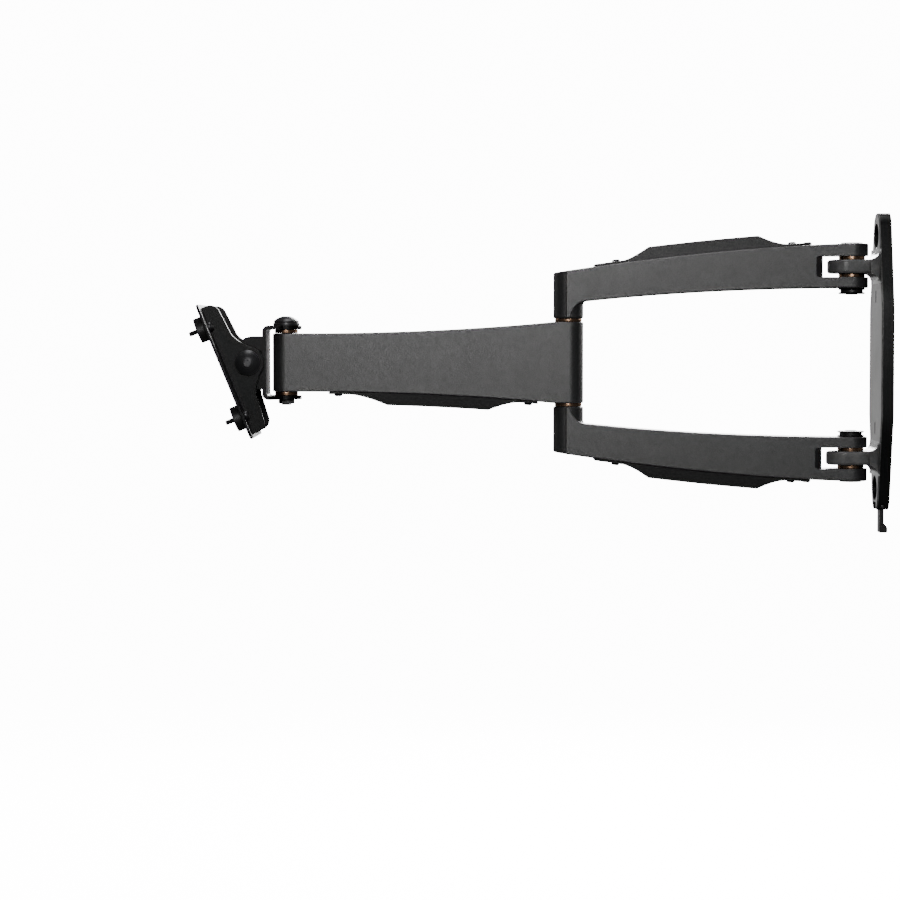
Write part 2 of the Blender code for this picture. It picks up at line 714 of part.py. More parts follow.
def arm_cover(label, side, arms, finish):
    near = -COVER_WALL_END
    far = -ARM_LENGTH + COVER_ELBOW_END
    foot_near, top_near = near - COVER_WALL_FOOT, near - COVER_WALL_TOP
    foot_far, top_far = far + COVER_ELBOW_FOOT, far + COVER_ELBOW_TOP
    lift = GAP
    top = lift + COVER_FLANGE
    raised = hump(arm_outer_edge, foot_near, top_near, top_far, foot_far, COVER_RISE, top)
    lead = [(y, arm_outer_edge(y) + top) for y in spread(near, foot_near, 2)[:-1]]
    tail = [(y, arm_outer_edge(y) + top) for y in spread(foot_far, far, 2)[1:]]
    under = [(y, arm_outer_edge(y) + lift) for y in spread(far, near, 14)]
    half = COVER_WIDTH / 2
    outline = flip(lead + raised + tail + under, side)
    cover = prism(f"{label}_arm_cover", outline, "X", -half, half, arms, finish)
    start, end = channel_ends()
    ceiling = hump(
        arm_outer_edge, start, top_near, top_far, end, COVER_RISE - COVER_WALL, -COVER_WALL
    )
    inner = half - COVER_WALL
    below = [(y, arm_outer_edge(y) - COVER_WALL) for y in (end, start)]
    hollow = flip(ceiling + below, side)
    cut(cover, prism(f"{label}_cover_hollow", hollow, "X", -inner, inner, arms))
    cable_notches(cover, label, arm_outer_edge, (foot_near, foot_far), side, arms)
    for place, y in cover_screw_places():
        spot = edge_place(y, arm_outer_edge, side)
        flange_hole(cover, f"{label}_{place}_hole", spot)


def flange_hole(cover, name, spot):
    reach = 2 * COVER_FLANGE
    drill(cover, name, COVER_SCREW_SHANK + 2 * GAP, -reach, reach, spot, COARSE)


def cable_notches(cover, name, edge, feet, side, parent):
    """Open a strip of each sloping end of a cover's hump, where a cable goes in and out."""
    half = CABLE_NOTCH_WIDTH / 2
    for place, foot, inward in (("near", feet[0], -1), ("far", feet[1], 1)):
        start, end = foot + inward * CABLE_NOTCH_INSET, foot + inward * CABLE_NOTCH_LENGTH
        high = edge(0) + 2 * COVER_RISE
        low = [(start, edge(start) - COVER_WALL), (end, edge(end) - COVER_WALL)]
        outline = low + [(end, high), (start, high)]
        cut(cover, prism(f"{name}_{place}_notch", flip(outline, side), "X", -half, half, parent))


def cover_screw(name, parent, finish, place):
    """Pan head screw whose head rests on a cover's flange."""
    head, shank = COVER_SCREW_HEAD / 2, COVER_SCREW_SHANK / 2
    seat = COVER_FLANGE + 2.7 * GAP
    profile = [
        (0, seat - COVER_SCREW_LENGTH),
        (shank, seat - COVER_SCREW_LENGTH),
        (shank, seat),
        (head, seat),
        (head, seat + COVER_SCREW_HEIGHT * 0.45),
        (head * 0.72, seat + COVER_SCREW_HEIGHT),
        (0, seat + COVER_SCREW_HEIGHT),
    ]
    turned(name, profile, COARSE, parent, finish, place)


def cover_clip(label, side, arms, finish):
    """Low block on the arm that the cover's wall end hooks under."""
    start = -COVER_WALL_END + 2 * GAP
    end = start + CLIP_LENGTH
    edge = arm_outer_edge
    outline = [
        (start, edge(start) + GAP),
        (end, edge(end) + GAP),
        (end, edge(end) + CLIP_HEIGHT * 0.5),
        (end - CLIP_HEIGHT * 0.5, edge(end) + CLIP_HEIGHT),
        (start + CLIP_HEIGHT * 0.3, edge(start) + CLIP_HEIGHT),
        (start, edge(start) + CLIP_HEIGHT * 0.7),
    ]
    half = CLIP_WIDTH / 2
    prism(f"{label}_cover_clip", flip(outline, side), "X", -half, half, arms, finish)


def elbow_fittings(arms, forearm, steel, bronze, plastic):
    at_elbow = Matrix.Translation((0, -ARM_LENGTH, 0))
    shank, head = SHAFT_DIAMETER / 2, SHAFT_HEAD_DIAMETER / 2
    seat = shaft_seat()
    end = -seat - SHAFT_HEAD_HEIGHT + 2 * GAP
    shaft = [
        (0, end),
        (shank, end),
        (shank, seat),
        (head, seat),
        (head, seat + SHAFT_HEAD_HEIGHT - GAP),
        (0, seat + SHAFT_HEAD_HEIGHT - GAP),
    ]
    turned("elbow_shaft", shaft, PLAIN, arms, steel, at_elbow)
    nut = tube_profile(SHAFT_HEAD_DIAMETER, SHAFT_BORE, -seat - SHAFT_HEAD_HEIGHT + GAP, -seat)
    turned("elbow_nut", nut, PLAIN, arms, steel, at_elbow)
    for label, side in sides():
        low = seat + SHAFT_HEAD_HEIGHT + GAP
        plug = flip(rod_profile(SHAFT_HEAD_DIAMETER, low, low + PLUG_HEIGHT), side)
        turned(f"elbow_plug_{label}", plug, PLAIN, arms, plastic, at_elbow)
        face = FOREARM_ELBOW_HEIGHT / 2
        span = (face + GAP, face + GAP + ELBOW_WASHER_THICKNESS)
        washer = flip(tube_profile(ELBOW_WASHER_DIAMETER, SHAFT_BORE, *span), side)
        turned(f"elbow_washer_{label}", washer, PLAIN, arms, bronze, at_elbow)
        bush = flip(tube_profile(SHAFT_BUSH_OUTER, SHAFT_BORE, face - ELBOW_BUSH_LENGTH, face), side)
        turned(f"elbow_bush_{label}", bush, PLAIN, forearm, bronze)


# Forearm, in a frame whose Z axis is the elbow


def forearm_edge(y):
    """Half the forearm's height."""
    share = (-y - ELBOW_RADIUS) / (FOREARM_LENGTH - 2 * ELBOW_RADIUS)
    ends = (FOREARM_ELBOW_HEIGHT / 2, FOREARM_SWIVEL_HEIGHT / 2)
    return ease(*ends, min(max(share, 0), 1), FOREARM_CURVE)


def forearm_body(parent, finish):
    near, far = ELBOW_RADIUS + GAP, -FOREARM_LENGTH - SWIVEL_RADIUS - GAP
    stations = [near] + spread(-ELBOW_RADIUS, -FOREARM_LENGTH + ELBOW_RADIUS, 14) + [far]
    top = [(y, forearm_edge(y)) for y in stations]
    outline = top + [(y, -z) for y, z in reversed(top)]
    body = prism("forearm", outline, "X", -2 * ELBOW_RADIUS, 2 * ELBOW_RADIUS, parent, finish)
    plan = arc((0, 0), ELBOW_RADIUS, 0, 180, 16)
    plan += arc((0, -FOREARM_LENGTH), SWIVEL_RADIUS, 180, 360, 16)
    height = FOREARM_ELBOW_HEIGHT
    keep_common(body, prism("forearm_plan", plan, "Z", -height, height, parent))
    at_swivel = Matrix.Translation((0, -FOREARM_LENGTH, 0))
    drill(body, "elbow_bore", SHAFT_BORE + 2 * GAP, -height, height)
    drill(body, "swivel_bore", SWIVEL_BORE + 2 * GAP, -height, height, at_swivel)
    for label, side in sides():
        seat = FOREARM_ELBOW_HEIGHT / 2 - ELBOW_BUSH_LENGTH - GAP
        housing = flip(rod_profile(SHAFT_HOUSING, seat, height), side)
        cut(body, turned(f"elbow_housing_{label}", housing, PLAIN, parent))
        seat = FOREARM_SWIVEL_HEIGHT / 2 - SWIVEL_BUSH_LENGTH - GAP
        housing = flip(rod_profile(SWIVEL_HOUSING, seat, height), side)
        cut(body, turned(f"swivel_housing_{label}", housing, PLAIN, parent, None, at_swivel))
    start, end = forearm_channel_ends()
    half = FOREARM_CHANNEL_WIDTH / 2
    roof = FOREARM_CHANNEL_ROOF
    channel = [(start, -height), (start, roof), (end, roof), (end, -height)]
    cut(body, prism("forearm_channel", channel, "X", -half, half, parent))
    for place, y in forearm_screw_places():
        spot = edge_place(y, forearm_edge, -1)
        screw_hole(body, f"forearm_{place}_thread", spot)


def forearm_channel_ends():
    near = -FOREARM_COVER_NEAR - FOREARM_ELBOW_INSET
    far = -FOREARM_LENGTH + FOREARM_COVER_FAR + FOREARM_SWIVEL_INSET
    return (near, far)


def forearm_screw_places():
    near = -FOREARM_COVER_NEAR - COVER_SCREW_INSET
    far = -FOREARM_LENGTH + FOREARM_COVER_FAR + COVER_SCREW_INSET
    return (("elbow", near), ("swivel", far))


def forearm_cover(parent, finish, screw_finish):
    near, far = -FOREARM_COVER_NEAR, -FOREARM_LENGTH + FOREARM_COVER_FAR
    foot_near, top_near = near - FOREARM_ELBOW_FOOT, near - FOREARM_ELBOW_TOP
    foot_far, top_far = far + FOREARM_SWIVEL_FOOT, far + FOREARM_SWIVEL_TOP
    top = GAP + COVER_FLANGE
    raised = hump(forearm_edge, foot_near, top_near, top_far, foot_far, FOREARM_COVER_RISE, top)
    lead = [(y, forearm_edge(y) + top) for y in spread(near, foot_near, 2)[:-1]]
    tail = [(y, forearm_edge(y) + top) for y in spread(foot_far, far, 2)[1:]]
    under = [(y, forearm_edge(y) + GAP) for y in spread(far, near, 14)]
    half = SWIVEL_RADIUS - 4 * GAP
    outline = flip(lead + raised + tail + under, -1)
    cover = prism("forearm_cover", outline, "X", -half, half, parent, finish)
    start, end = forearm_channel_ends()
    rise = FOREARM_COVER_RISE - COVER_WALL
    ceiling = hump(forearm_edge, start, top_near, top_far, end, rise, -COVER_WALL)
    below = [(y, forearm_edge(y) - COVER_WALL) for y in (end, start)]
    inner = half - COVER_WALL
    hollow = flip(ceiling + below, -1)
    cut(cover, prism("forearm_cover_hollow", hollow, "X", -inner, inner, parent))
    cable_notches(cover, "forearm", forearm_edge, (foot_near, foot_far), -1, parent)
    for place, y in forearm_screw_places():
        spot = edge_place(y, forearm_edge, -1)
        flange_hole(cover, f"forearm_{place}_hole", spot)
        cover_screw(f"forearm_screw_{place}", parent, screw_finish, spot)


# Swivel bracket, in a frame whose Z axis is the swivel bolt


def swivel_fittings(forearm, head, bronze, steel, nut_finish):
    at_swivel = Matrix.Translation((0, -FOREARM_LENGTH, 0))
    face = FOREARM_SWIVEL_HEIGHT / 2
    for label, side in sides():
        span = (face - SWIVEL_BUSH_LENGTH, face)
        bush = flip(tube_profile(SWIVEL_BUSH_OUTER, SWIVEL_BORE, *span), side)
        turned(f"swivel_bush_{label}", bush, PLAIN, forearm, bronze, at_swivel)
        span = (face + GAP, face + GAP + SWIVEL_WASHER_THICKNESS)
        washer = flip(tube_profile(SWIVEL_WASHER_DIAMETER, SWIVEL_BORE, *span), side)
        turned(f"swivel_washer_{label}", washer, PLAIN, forearm, bronze, at_swivel)
    low = BRACKET_OUTER + GAP
    flat = tube_profile(FLAT_WASHER_DIAMETER, SWIVEL_BORE, low, low + FLAT_WASHER_THICKNESS)
    turned("swivel_flat_washer", flat, FINE, head, steel)
    under = low + FLAT_WASHER_THICKNESS + GAP
    end = -BRACKET_OUTER - GAP - SWIVEL_NUT_HEIGHT - BOLT_END_PROUD
    turned("swivel_bolt", dome_bolt_profile(SWIVEL_BOLT, under, end), FINE, head, steel)
    top = -BRACKET_OUTER - GAP
    ends = (top - SWIVEL_NUT_HEIGHT, top)
    nut = prism("swivel_nut", hexagon(SWIVEL_NUT_ACROSS), "Z", *ends, head, nut_finish)
    drill(nut, "swivel_nut_bore", SWIVEL_BORE, -2 * BRACKET_OUTER, 0)


def dome_bolt_profile(diameter, under, end):
    """Low dome on a short rim, with a plain shank down to end."""
    rim = DOME_DIAMETER / 2
    rise = DOME_HEIGHT - DOME_LIP
    radius = (rim**2 + rise**2) / (2 * rise)
    sweep = math.degrees(math.asin(rim / radius))
    dome = arc((0, under + DOME_HEIGHT - radius), radius, 90 - sweep, 90, 7)
    return [(0, end), (diameter / 2, end), (diameter / 2, under), (rim, under), *dome]


def bracket_side_outline():
    """C shape seen from the side: two flanges and the web, with round bends."""
    outer, inner = BRACKET_OUTER, BRACKET_INNER
    bend, tight = BEND_RADIUS, BEND_RADIUS - SHEET
    centre_y = -WEB_OUTER + bend
    end = FLANGE_END + GAP
    points = [(end, outer)] + arc((centre_y, outer - bend), bend, 90, 180, 5)
    points += arc((centre_y, -outer + bend), bend, 180, 270, 5) + [(end, -outer), (end, -inner)]
    points += arc((centre_y, -inner + tight), tight, 270, 180, 4)
    points += arc((centre_y, inner - tight), tight, 180, 90, 4) + [(end, inner)]
    return points


def bracket_plan_outline():
    half = BRACKET_WIDTH / 2
    shoulder = -WEB_OFFSET + SHEET - 3 * GAP
    back = -2 * WEB_OUTER
    nose = arc((0, 0), FLANGE_END, -10, 190, 16)
    return nose + [(-half, shoulder), (-half, back), (half, back), (half, shoulder)]


def yoke_outline():
    """Tilt ear: a flat back in the web and an oval front round the tilt bolt."""
    centre = -TILT_OFFSET + YOKE_SETBACK
    reach = YOKE_FRONT + YOKE_SETBACK
    angles = [math.radians(90 + 180 * n / 16) for n in range(17)]
    front = [(centre + reach * math.cos(a), YOKE_HALF_HEIGHT * math.sin(a)) for a in angles]
    back = -WEB_OUTER + SHEET / 2
    return [(back, -YOKE_HALF_HEIGHT), (back, YOKE_HALF_HEIGHT)] + front


def swivel_bracket(head, finish):
    half = BRACKET_WIDTH / 2
    body = prism("swivel_bracket", bracket_side_outline(), "X", -half - GAP, half + GAP, head, finish)
    tall = 2 * BRACKET_OUTER
    keep_common(body, prism("bracket_plan", bracket_plan_outline(), "Z", -tall, tall, head))
    for name, low in (("right", YOKE_INNER), ("left", -YOKE_OUTER)):
        fuse(body, prism(f"yoke_{name}_form", yoke_outline(), "X", low, low + SHEET, head))
    drill(body, "bracket_bolt_hole", SWIVEL_BORE, -tall, tall)
    at_tilt = along_x(-TILT_OFFSET, 0)
    drill(body, "yoke_bolt_hole", TILT_BORE, -BRACKET_WIDTH, BRACKET_WIDTH, at_tilt)
    middle = (-WEB_OUTER - RELIEF_WIDTH / 2 - GAP, RELIEF_RISE)
    slot = rounded_box(middle, RELIEF_WIDTH, RELIEF_HEIGHT, RELIEF_WIDTH / 4, 2)
    cut(body, prism("bend_relief", slot, "X", -BRACKET_WIDTH, BRACKET_WIDTH, head))


# Display plate, in a frame whose X axis is the tilt bolt and which leans with the plate


def tilt_fittings(head, tilt, steel, bronze, nut_finish):
    at_tilt = along_x(-TILT_OFFSET, 0)
    tube_end = YOKE_INNER - GAP
    tube = tube_profile(TILT_TUBE_DIAMETER, TILT_BORE, -tube_end, tube_end)
    turned("tilt_tube", tube, PLAIN, head, steel, at_tilt)
    for name, side in (("right", 1), ("left", -1)):
        span = (YOKE_OUTER + GAP, YOKE_OUTER + GAP + TILT_WASHER_THICKNESS)
        washer = flip(tube_profile(TILT_WASHER_DIAMETER, TILT_BORE, *span), side)
        turned(f"tilt_washer_{name}", washer, PLAIN, head, bronze, at_tilt)
    under = EAR_OUTER + GAP
    end = -under - TILT_NUT_HEIGHT - BOLT_END_PROUD
    turned("tilt_bolt", dome_bolt_profile(TILT_BOLT, under, end), FINE, tilt, steel, along_x())
    ends = (-under - TILT_NUT_HEIGHT, -under)
    nut = prism("tilt_nut", hexagon(TILT_NUT_ACROSS), "X", *ends, tilt, nut_finish)
    drill(nut, "tilt_nut_bore", TILT_BORE, -2 * under, 0, along_x())


def ear_outline():
    """Wing of (y, z) points: a boss round the bolt, a waist each side of it and round tips."""
    front = ADAPTER_OFFSET + ADAPTER_THICKNESS / 2
    tip_back = ADAPTER_OFFSET - EAR_TIP_DEPTH
    waist_back = ADAPTER_OFFSET - EAR_WAIST_DEPTH
    tip = (-tip_back - EAR_TIP_RADIUS, EAR_HALF_LENGTH - EAR_TIP_RADIUS)
    upper = [(-front, EAR_HALF_LENGTH)] + arc(tip, EAR_TIP_RADIUS, 90, 10, 6)
    upper += [(-waist_back, EAR_WAIST)]
    upper += [(-waist_back + EAR_NICK_DEPTH, EAR_WAIST - EAR_NICK_HEIGHT)]
    boss = arc((0, 0), EAR_BOSS_RADIUS, 62, -62, 16)
    lower = [(y, -z) for y, z in reversed(upper)]
    return upper + boss + lower


def display_plate(tilt, finish):
    outline = rounded_box((0, 0), ADAPTER_WIDTH, ADAPTER_HEIGHT, ADAPTER_CORNER, 5)
    body = prism("display_plate", outline, "Y", -ADAPTER_FRONT, -ADAPTER_OFFSET, tilt, finish)
    for name, low in (("right", EAR_INNER), ("left", -EAR_OUTER)):
        fuse(body, prism(f"ear_{name}_form", ear_outline(), "X", low, low + SHEET, tilt))
    window = rounded_box((0, 0), WINDOW_WIDTH, WINDOW_HEIGHT, WINDOW_CORNER)
    behind = -ADAPTER_OFFSET / 2
    cut(body, prism("display_plate_window", window, "Y", -2 * ADAPTER_FRONT, behind, tilt))
    drill(body, "ear_bolt_hole", TILT_BORE, -ADAPTER_WIDTH, ADAPTER_WIDTH, along_x())
    for size, spacing in (("near", HOLE_SPACING_SMALL), ("far", HOLE_SPACING_LARGE)):
        for name, x, z in corners(spacing):
            spot = along_y(x, 0, z)
            reach = (-behind, ADAPTER_FRONT + PAST)
            drill(body, f"{size}_hole_{name}", DISPLAY_HOLE, *reach, spot, COARSE)


def corners(spacing):
    half = spacing / 2
    return [
        ("top_right", half, half),
        ("top_left", -half, half),
        ("bottom_left", -half, -half),
        ("bottom_right", half, -half),
    ]


def display_fasteners(tilt, spacer_finish, screw_finish):
    """A spacer on each of the near holes and a screw through it into the display."""
    near = ADAPTER_FRONT + GAP
    far = near + SPACER_LENGTH
    bore = SCREW_DIAMETER + 2 * GAP
    under = ADAPTER_OFFSET - GAP
    shank, head = SCREW_DIAMETER / 2, SCREW_HEAD_DIAMETER / 2
    tip = far + SCREW_PROUD
    screw = [
        (0, under - SCREW_HEAD_HEIGHT),
        (head * 0.7, under - SCREW_HEAD_HEIGHT),
        (head, under - SCREW_HEAD_HEIGHT * 0.5),
        (head, under),
        (shank, under),
        (shank, tip - PIN_EDGE),
        (shank - PIN_EDGE, tip),
        (0, tip),
    ]
    for name, x, z in corners(HOLE_SPACING_SMALL):
        spot = along_y(x, 0, z)
        spacer = tube_profile(SPACER_DIAMETER, bore, near, far)
        turned(f"spacer_{name}", spacer, PLAIN, tilt, spacer_finish, spot)
        turned(f"display_screw_{name}", screw, COARSE, tilt, screw_finish, spot)


def build():
    clear_scene()
    cast = material("cast_grey", (0.030, 0.030, 0.031), 0.55, 0.2)
    powder = material("powder_coat", (0.045, 0.045, 0.047), 0.6, 0.1)
    black_sheet = material("black_sheet", (0.012, 0.012, 0.013), 0.45, 0.3)
    plastic = material("black_plastic", (0.016, 0.016, 0.016), 0.5)
    steel = material("dark_steel", (0.10, 0.10, 0.105), 0.32, 0.9)
    nut_black = material("black_nut", (0.02, 0.02, 0.02), 0.25, 0.4)
    bronze = material("bronze", (0.36, 0.20, 0.11), 0.38, 0.9)

    arms = axis_empty("wall_axis", (0, -PIVOT_REACH, 0))
    forearm = axis_empty("elbow_axis", (0, -ARM_LENGTH, 0), arms)
    head = axis_empty("swivel_axis", (0, -FOREARM_LENGTH, 0), forearm)
    tilt = axis_empty("tilt_axis", (0, -TILT_OFFSET, 0), head, TILT_AT_REST)
    catch_axis = axis_empty("catch_axis", (0, CATCH_PIN_Y, CATCH_PIN_Z))

    wall_plate(cast)
    catch(catch_axis, plastic)
    catch_fittings(steel)
    wall_pivots(arms, bronze, nut_black, steel)
    for label, side in sides():
        frame_arm(label, side, arms, powder)
        arm_cover(label, side, arms, plastic)
        cover_clip(label, side, arms, plastic)
        for place, y in cover_screw_places():
            spot = edge_place(y, arm_outer_edge, side)
            cover_screw(f"{label}_screw_{place}", arms, steel, spot)
    elbow_fittings(arms, forearm, steel, bronze, plastic)
    forearm_body(forearm, powder)
    forearm_cover(forearm, plastic, steel)
    swivel_fittings(forearm, head, bronze, steel, nut_black)
    swivel_bracket(head, black_sheet)
    tilt_fittings(head, tilt, steel, bronze, nut_black)
    display_plate(tilt, black_sheet)
    display_fasteners(tilt, nut_black, steel)


build()
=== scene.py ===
import json
import math

import bmesh
import bpy
from mathutils import Matrix, Vector


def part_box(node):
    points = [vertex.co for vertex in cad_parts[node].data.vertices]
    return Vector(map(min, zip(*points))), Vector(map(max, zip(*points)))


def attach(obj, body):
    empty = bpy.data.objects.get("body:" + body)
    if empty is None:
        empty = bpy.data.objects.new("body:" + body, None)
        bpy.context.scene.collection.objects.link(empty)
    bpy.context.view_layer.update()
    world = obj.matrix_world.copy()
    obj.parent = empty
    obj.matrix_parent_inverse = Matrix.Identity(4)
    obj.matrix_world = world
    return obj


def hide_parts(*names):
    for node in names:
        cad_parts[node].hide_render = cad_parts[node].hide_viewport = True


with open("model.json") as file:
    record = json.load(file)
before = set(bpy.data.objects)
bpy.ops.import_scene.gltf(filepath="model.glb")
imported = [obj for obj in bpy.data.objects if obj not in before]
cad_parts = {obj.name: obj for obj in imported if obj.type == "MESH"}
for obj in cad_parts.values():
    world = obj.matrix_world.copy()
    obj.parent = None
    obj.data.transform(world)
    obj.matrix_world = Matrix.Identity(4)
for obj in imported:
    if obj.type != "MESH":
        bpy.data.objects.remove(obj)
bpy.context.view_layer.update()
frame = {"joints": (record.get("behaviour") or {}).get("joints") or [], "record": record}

# Where the pivots are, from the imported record
joints = {joint["name"]: joint for joint in frame["joints"]}
wallY = joints["wall_swing"]["pos_m"][1]
elbowY = joints["elbow"]["pos_m"][1]
swivelY = joints["head_swivel"]["pos_m"][1]
tiltY = joints["head_tilt"]["pos_m"][1]
catchY, catchZ = joints["catch_release"]["pos_m"][1:]
seat = next(m for m in frame["record"]["mounts"] if m["name"] == "display_seat_top_right")
lean = math.atan2(-seat["axis"][2], -seat["axis"][1])
atTilt = Matrix.Translation((0, tiltY, 0)) @ Matrix.Rotation(lean, 4, "X")
gap = 0.0003  # between two parts that rest on each other
seal = 0.00024  # how far a washer or head reaches into the gap beside it
halves = (("upper", 1), ("lower", -1))


# Shader maths as plain expressions, and one method for any node

class Wire:
    # one output of a node
    def __init__(self, paint, socket):
        self.paint, self.socket = paint, socket

    def maths(self, operation, first, second):
        return self.paint.node("ShaderNodeMath", {"operation": operation}, {0: first, 1: second})

    def __add__(self, other): return self.maths("ADD", self, other)
    def __radd__(self, other): return self.maths("ADD", other, self)
    def __sub__(self, other): return self.maths("SUBTRACT", self, other)
    def __rsub__(self, other): return self.maths("SUBTRACT", other, self)
    def __mul__(self, other): return self.maths("MULTIPLY", self, other)
    def __rmul__(self, other): return self.maths("MULTIPLY", other, self)


class Paint:
    def __init__(self, name):
        self.material = bpy.data.materials.new(name)
        self.material.use_nodes = True
        self.tree = self.material.node_tree
        self.shader = self.tree.nodes["Principled BSDF"]
        self.place = self.node("ShaderNodeTexCoord", output="Object")

    def node(self, kind, settings=None, inputs=None, output=0):
        made = self.tree.nodes.new(kind)
        for key, value in (settings or {}).items():
            setattr(made, key, value)
        for key, value in (inputs or {}).items():
            if isinstance(value, Wire):
                self.tree.links.new(value.socket, made.inputs[key])
            else:
                made.inputs[key].default_value = value
        return Wire(self, made.outputs[output])

    def noise(self, scale, detail=2.0, rough=0.5, where=None):
        inputs = {"Vector": where or self.place, "Scale": scale, "Detail": detail, "Roughness": rough}
        return self.node("ShaderNodeTexNoise", inputs=inputs)

    def sharpen(self, value, low, high):
        return self.node("ShaderNodeMapRange", {"interpolation_type": "SMOOTHSTEP"},
                         {"Value": value, "From Min": low, "From Max": high})

    def mix(self, share, first, second):
        sides = {6: first if isinstance(first, Wire) else (*first, 1),
                 7: second if isinstance(second, Wire) else (*second, 1), 0: share}
        return self.node("ShaderNodeMix", {"data_type": "RGBA"}, sides, output=2)

    # faces marked for the lighter edge colour: rubbed wear and painted highlight
    def worn(self):
        return self.node("ShaderNodeAttribute", {"attribute_name": "worn"}, output="Fac")

    def bump(self, height, strength, distance):
        inputs = {"Height": height, "Strength": strength, "Distance": distance}
        return self.node("ShaderNodeBump", inputs=inputs)

    def finish(self, linked, fixed):
        for key, wire in linked.items():
            self.tree.links.new(wire.socket, self.shader.inputs[key])
        for key, value in fixed.items():
            self.shader.inputs[key].default_value = value
        return self.material


def grainedCoat(name, look):
    # sprayed coat: fine grain, slow clouding, and marked edges painted lighter, partly rubbed wear and partly
    # painted highlight
    paint = Paint(name)
    grain = paint.noise(look["grain"], 3.0, 0.62)
    speck = paint.noise(look["grain"] * 2.3, 2.0, 0.5)
    cloud = paint.noise(look["cloud"], 3.0, 0.55)
    fleck = paint.sharpen(grain * 0.65 + speck * 0.35, 0.36, 0.66)
    shade = paint.mix(fleck, look["dark"], look["light"])
    shade = paint.mix(paint.sharpen(cloud, 0.35, 0.75) * look["clouding"], shade, look["dust"])
    # marked edge faces take the lighter edge colour: rubbed paint and painted highlight
    rub = paint.worn() * (0.45 + paint.sharpen(paint.noise(look["rubScale"], 4.0, 0.6), 0.30, 0.70) * 0.55)
    shade = paint.mix(rub * look["rub"], shade, look["edge"])
    rough = look["rough"] + (grain - 0.5) * look["roughSpread"] + (cloud - 0.5) * 0.10 - rub * 0.10
    normal = paint.bump(grain * 0.6 + speck * 0.4, look["relief"], look["depth"])
    return paint.finish(
        {"Base Color": shade, "Roughness": rough, "Normal": normal},
        {"Metallic": look["metallic"], "Specular IOR Level": look["specular"],
         "Coat Weight": look["coat"], "Coat Roughness": 0.35})


def mouldedPlastic(name, look):
    # eroded mould skin: rounded pits at a small scale, and faint flow clouds
    paint = Paint(name)
    pits = paint.node("ShaderNodeTexVoronoi", {"feature": "SMOOTH_F1"},
                      {"Vector": paint.place, "Scale": look["pits"], "Smoothness": 0.6}, "Distance")
    skin = paint.noise(look["pits"] * 0.45, 3.0, 0.6)
    flow = paint.noise(look["flow"], 2.0, 0.5)
    shade = paint.mix(paint.sharpen(skin, 0.35, 0.7), look["dark"], look["light"])
    shade = paint.mix(paint.sharpen(flow, 0.45, 0.8) * 0.5, shade, look["dust"])
    # marked edge faces take the lighter edge colour: rubbed plastic and painted highlight
    shade = paint.mix(paint.worn() * look["rub"], shade, look["edge"])
    rough = look["rough"] + (skin - 0.5) * 0.22 + (flow - 0.5) * 0.08
    return paint.finish(
        {"Base Color": shade, "Roughness": rough,
         "Normal": paint.bump(pits * 0.7 + skin * 0.3, look["relief"], look["depth"])},
        {"Metallic": 0.0, "Specular IOR Level": look["specular"]})


def turnedMetal(name, look, centre, along):
    # lathe rings about the part's own axis, broken up by handling marks
    paint = Paint(name)
    turn = {"X": (0, math.pi / 2, 0), "Y": (math.pi / 2, 0, 0), "Z": (0, 0, 0)}[along]
    centred = paint.node("ShaderNodeMapping", {"vector_type": "TEXTURE"},
                         {"Vector": paint.place, "Location": centre, "Rotation": turn})
    flat = paint.node("ShaderNodeVectorMath", {"operation": "MULTIPLY"}, {0: centred, 1: (1, 1, 0)})
    radius = paint.node("ShaderNodeVectorMath", {"operation": "LENGTH"}, {0: flat}, "Value")
    height = paint.node("ShaderNodeSeparateXYZ", inputs={"Vector": centred}, output="Z")
    rings = paint.noise(look["rings"], 3.0, 0.65, paint.node(
        "ShaderNodeCombineXYZ", inputs={"X": radius, "Y": height}))
    marks = paint.noise(look["marks"], 4.0, 0.6)
    shade = paint.mix(paint.sharpen(rings, 0.3, 0.7), look["dark"], look["light"])
    shade = paint.mix(paint.sharpen(marks, 0.5, 0.75) * look["stain"], shade, look["tarnish"])
    # marked edge faces lean halfway to the edge colour: worn metal and painted highlight
    shade = paint.mix(paint.worn() * 0.5, shade, look["edge"])
    rough = look["rough"] + (rings - 0.5) * 0.16 + (marks - 0.5) * 0.14
    return paint.finish(
        {"Base Color": shade, "Roughness": rough, "Normal": paint.bump(rings, look["relief"], 0.00006)},
        {"Metallic": look["metallic"], "Specular IOR Level": 0.5, "Coat Weight": look["coat"],
         "Coat Roughness": 0.12})
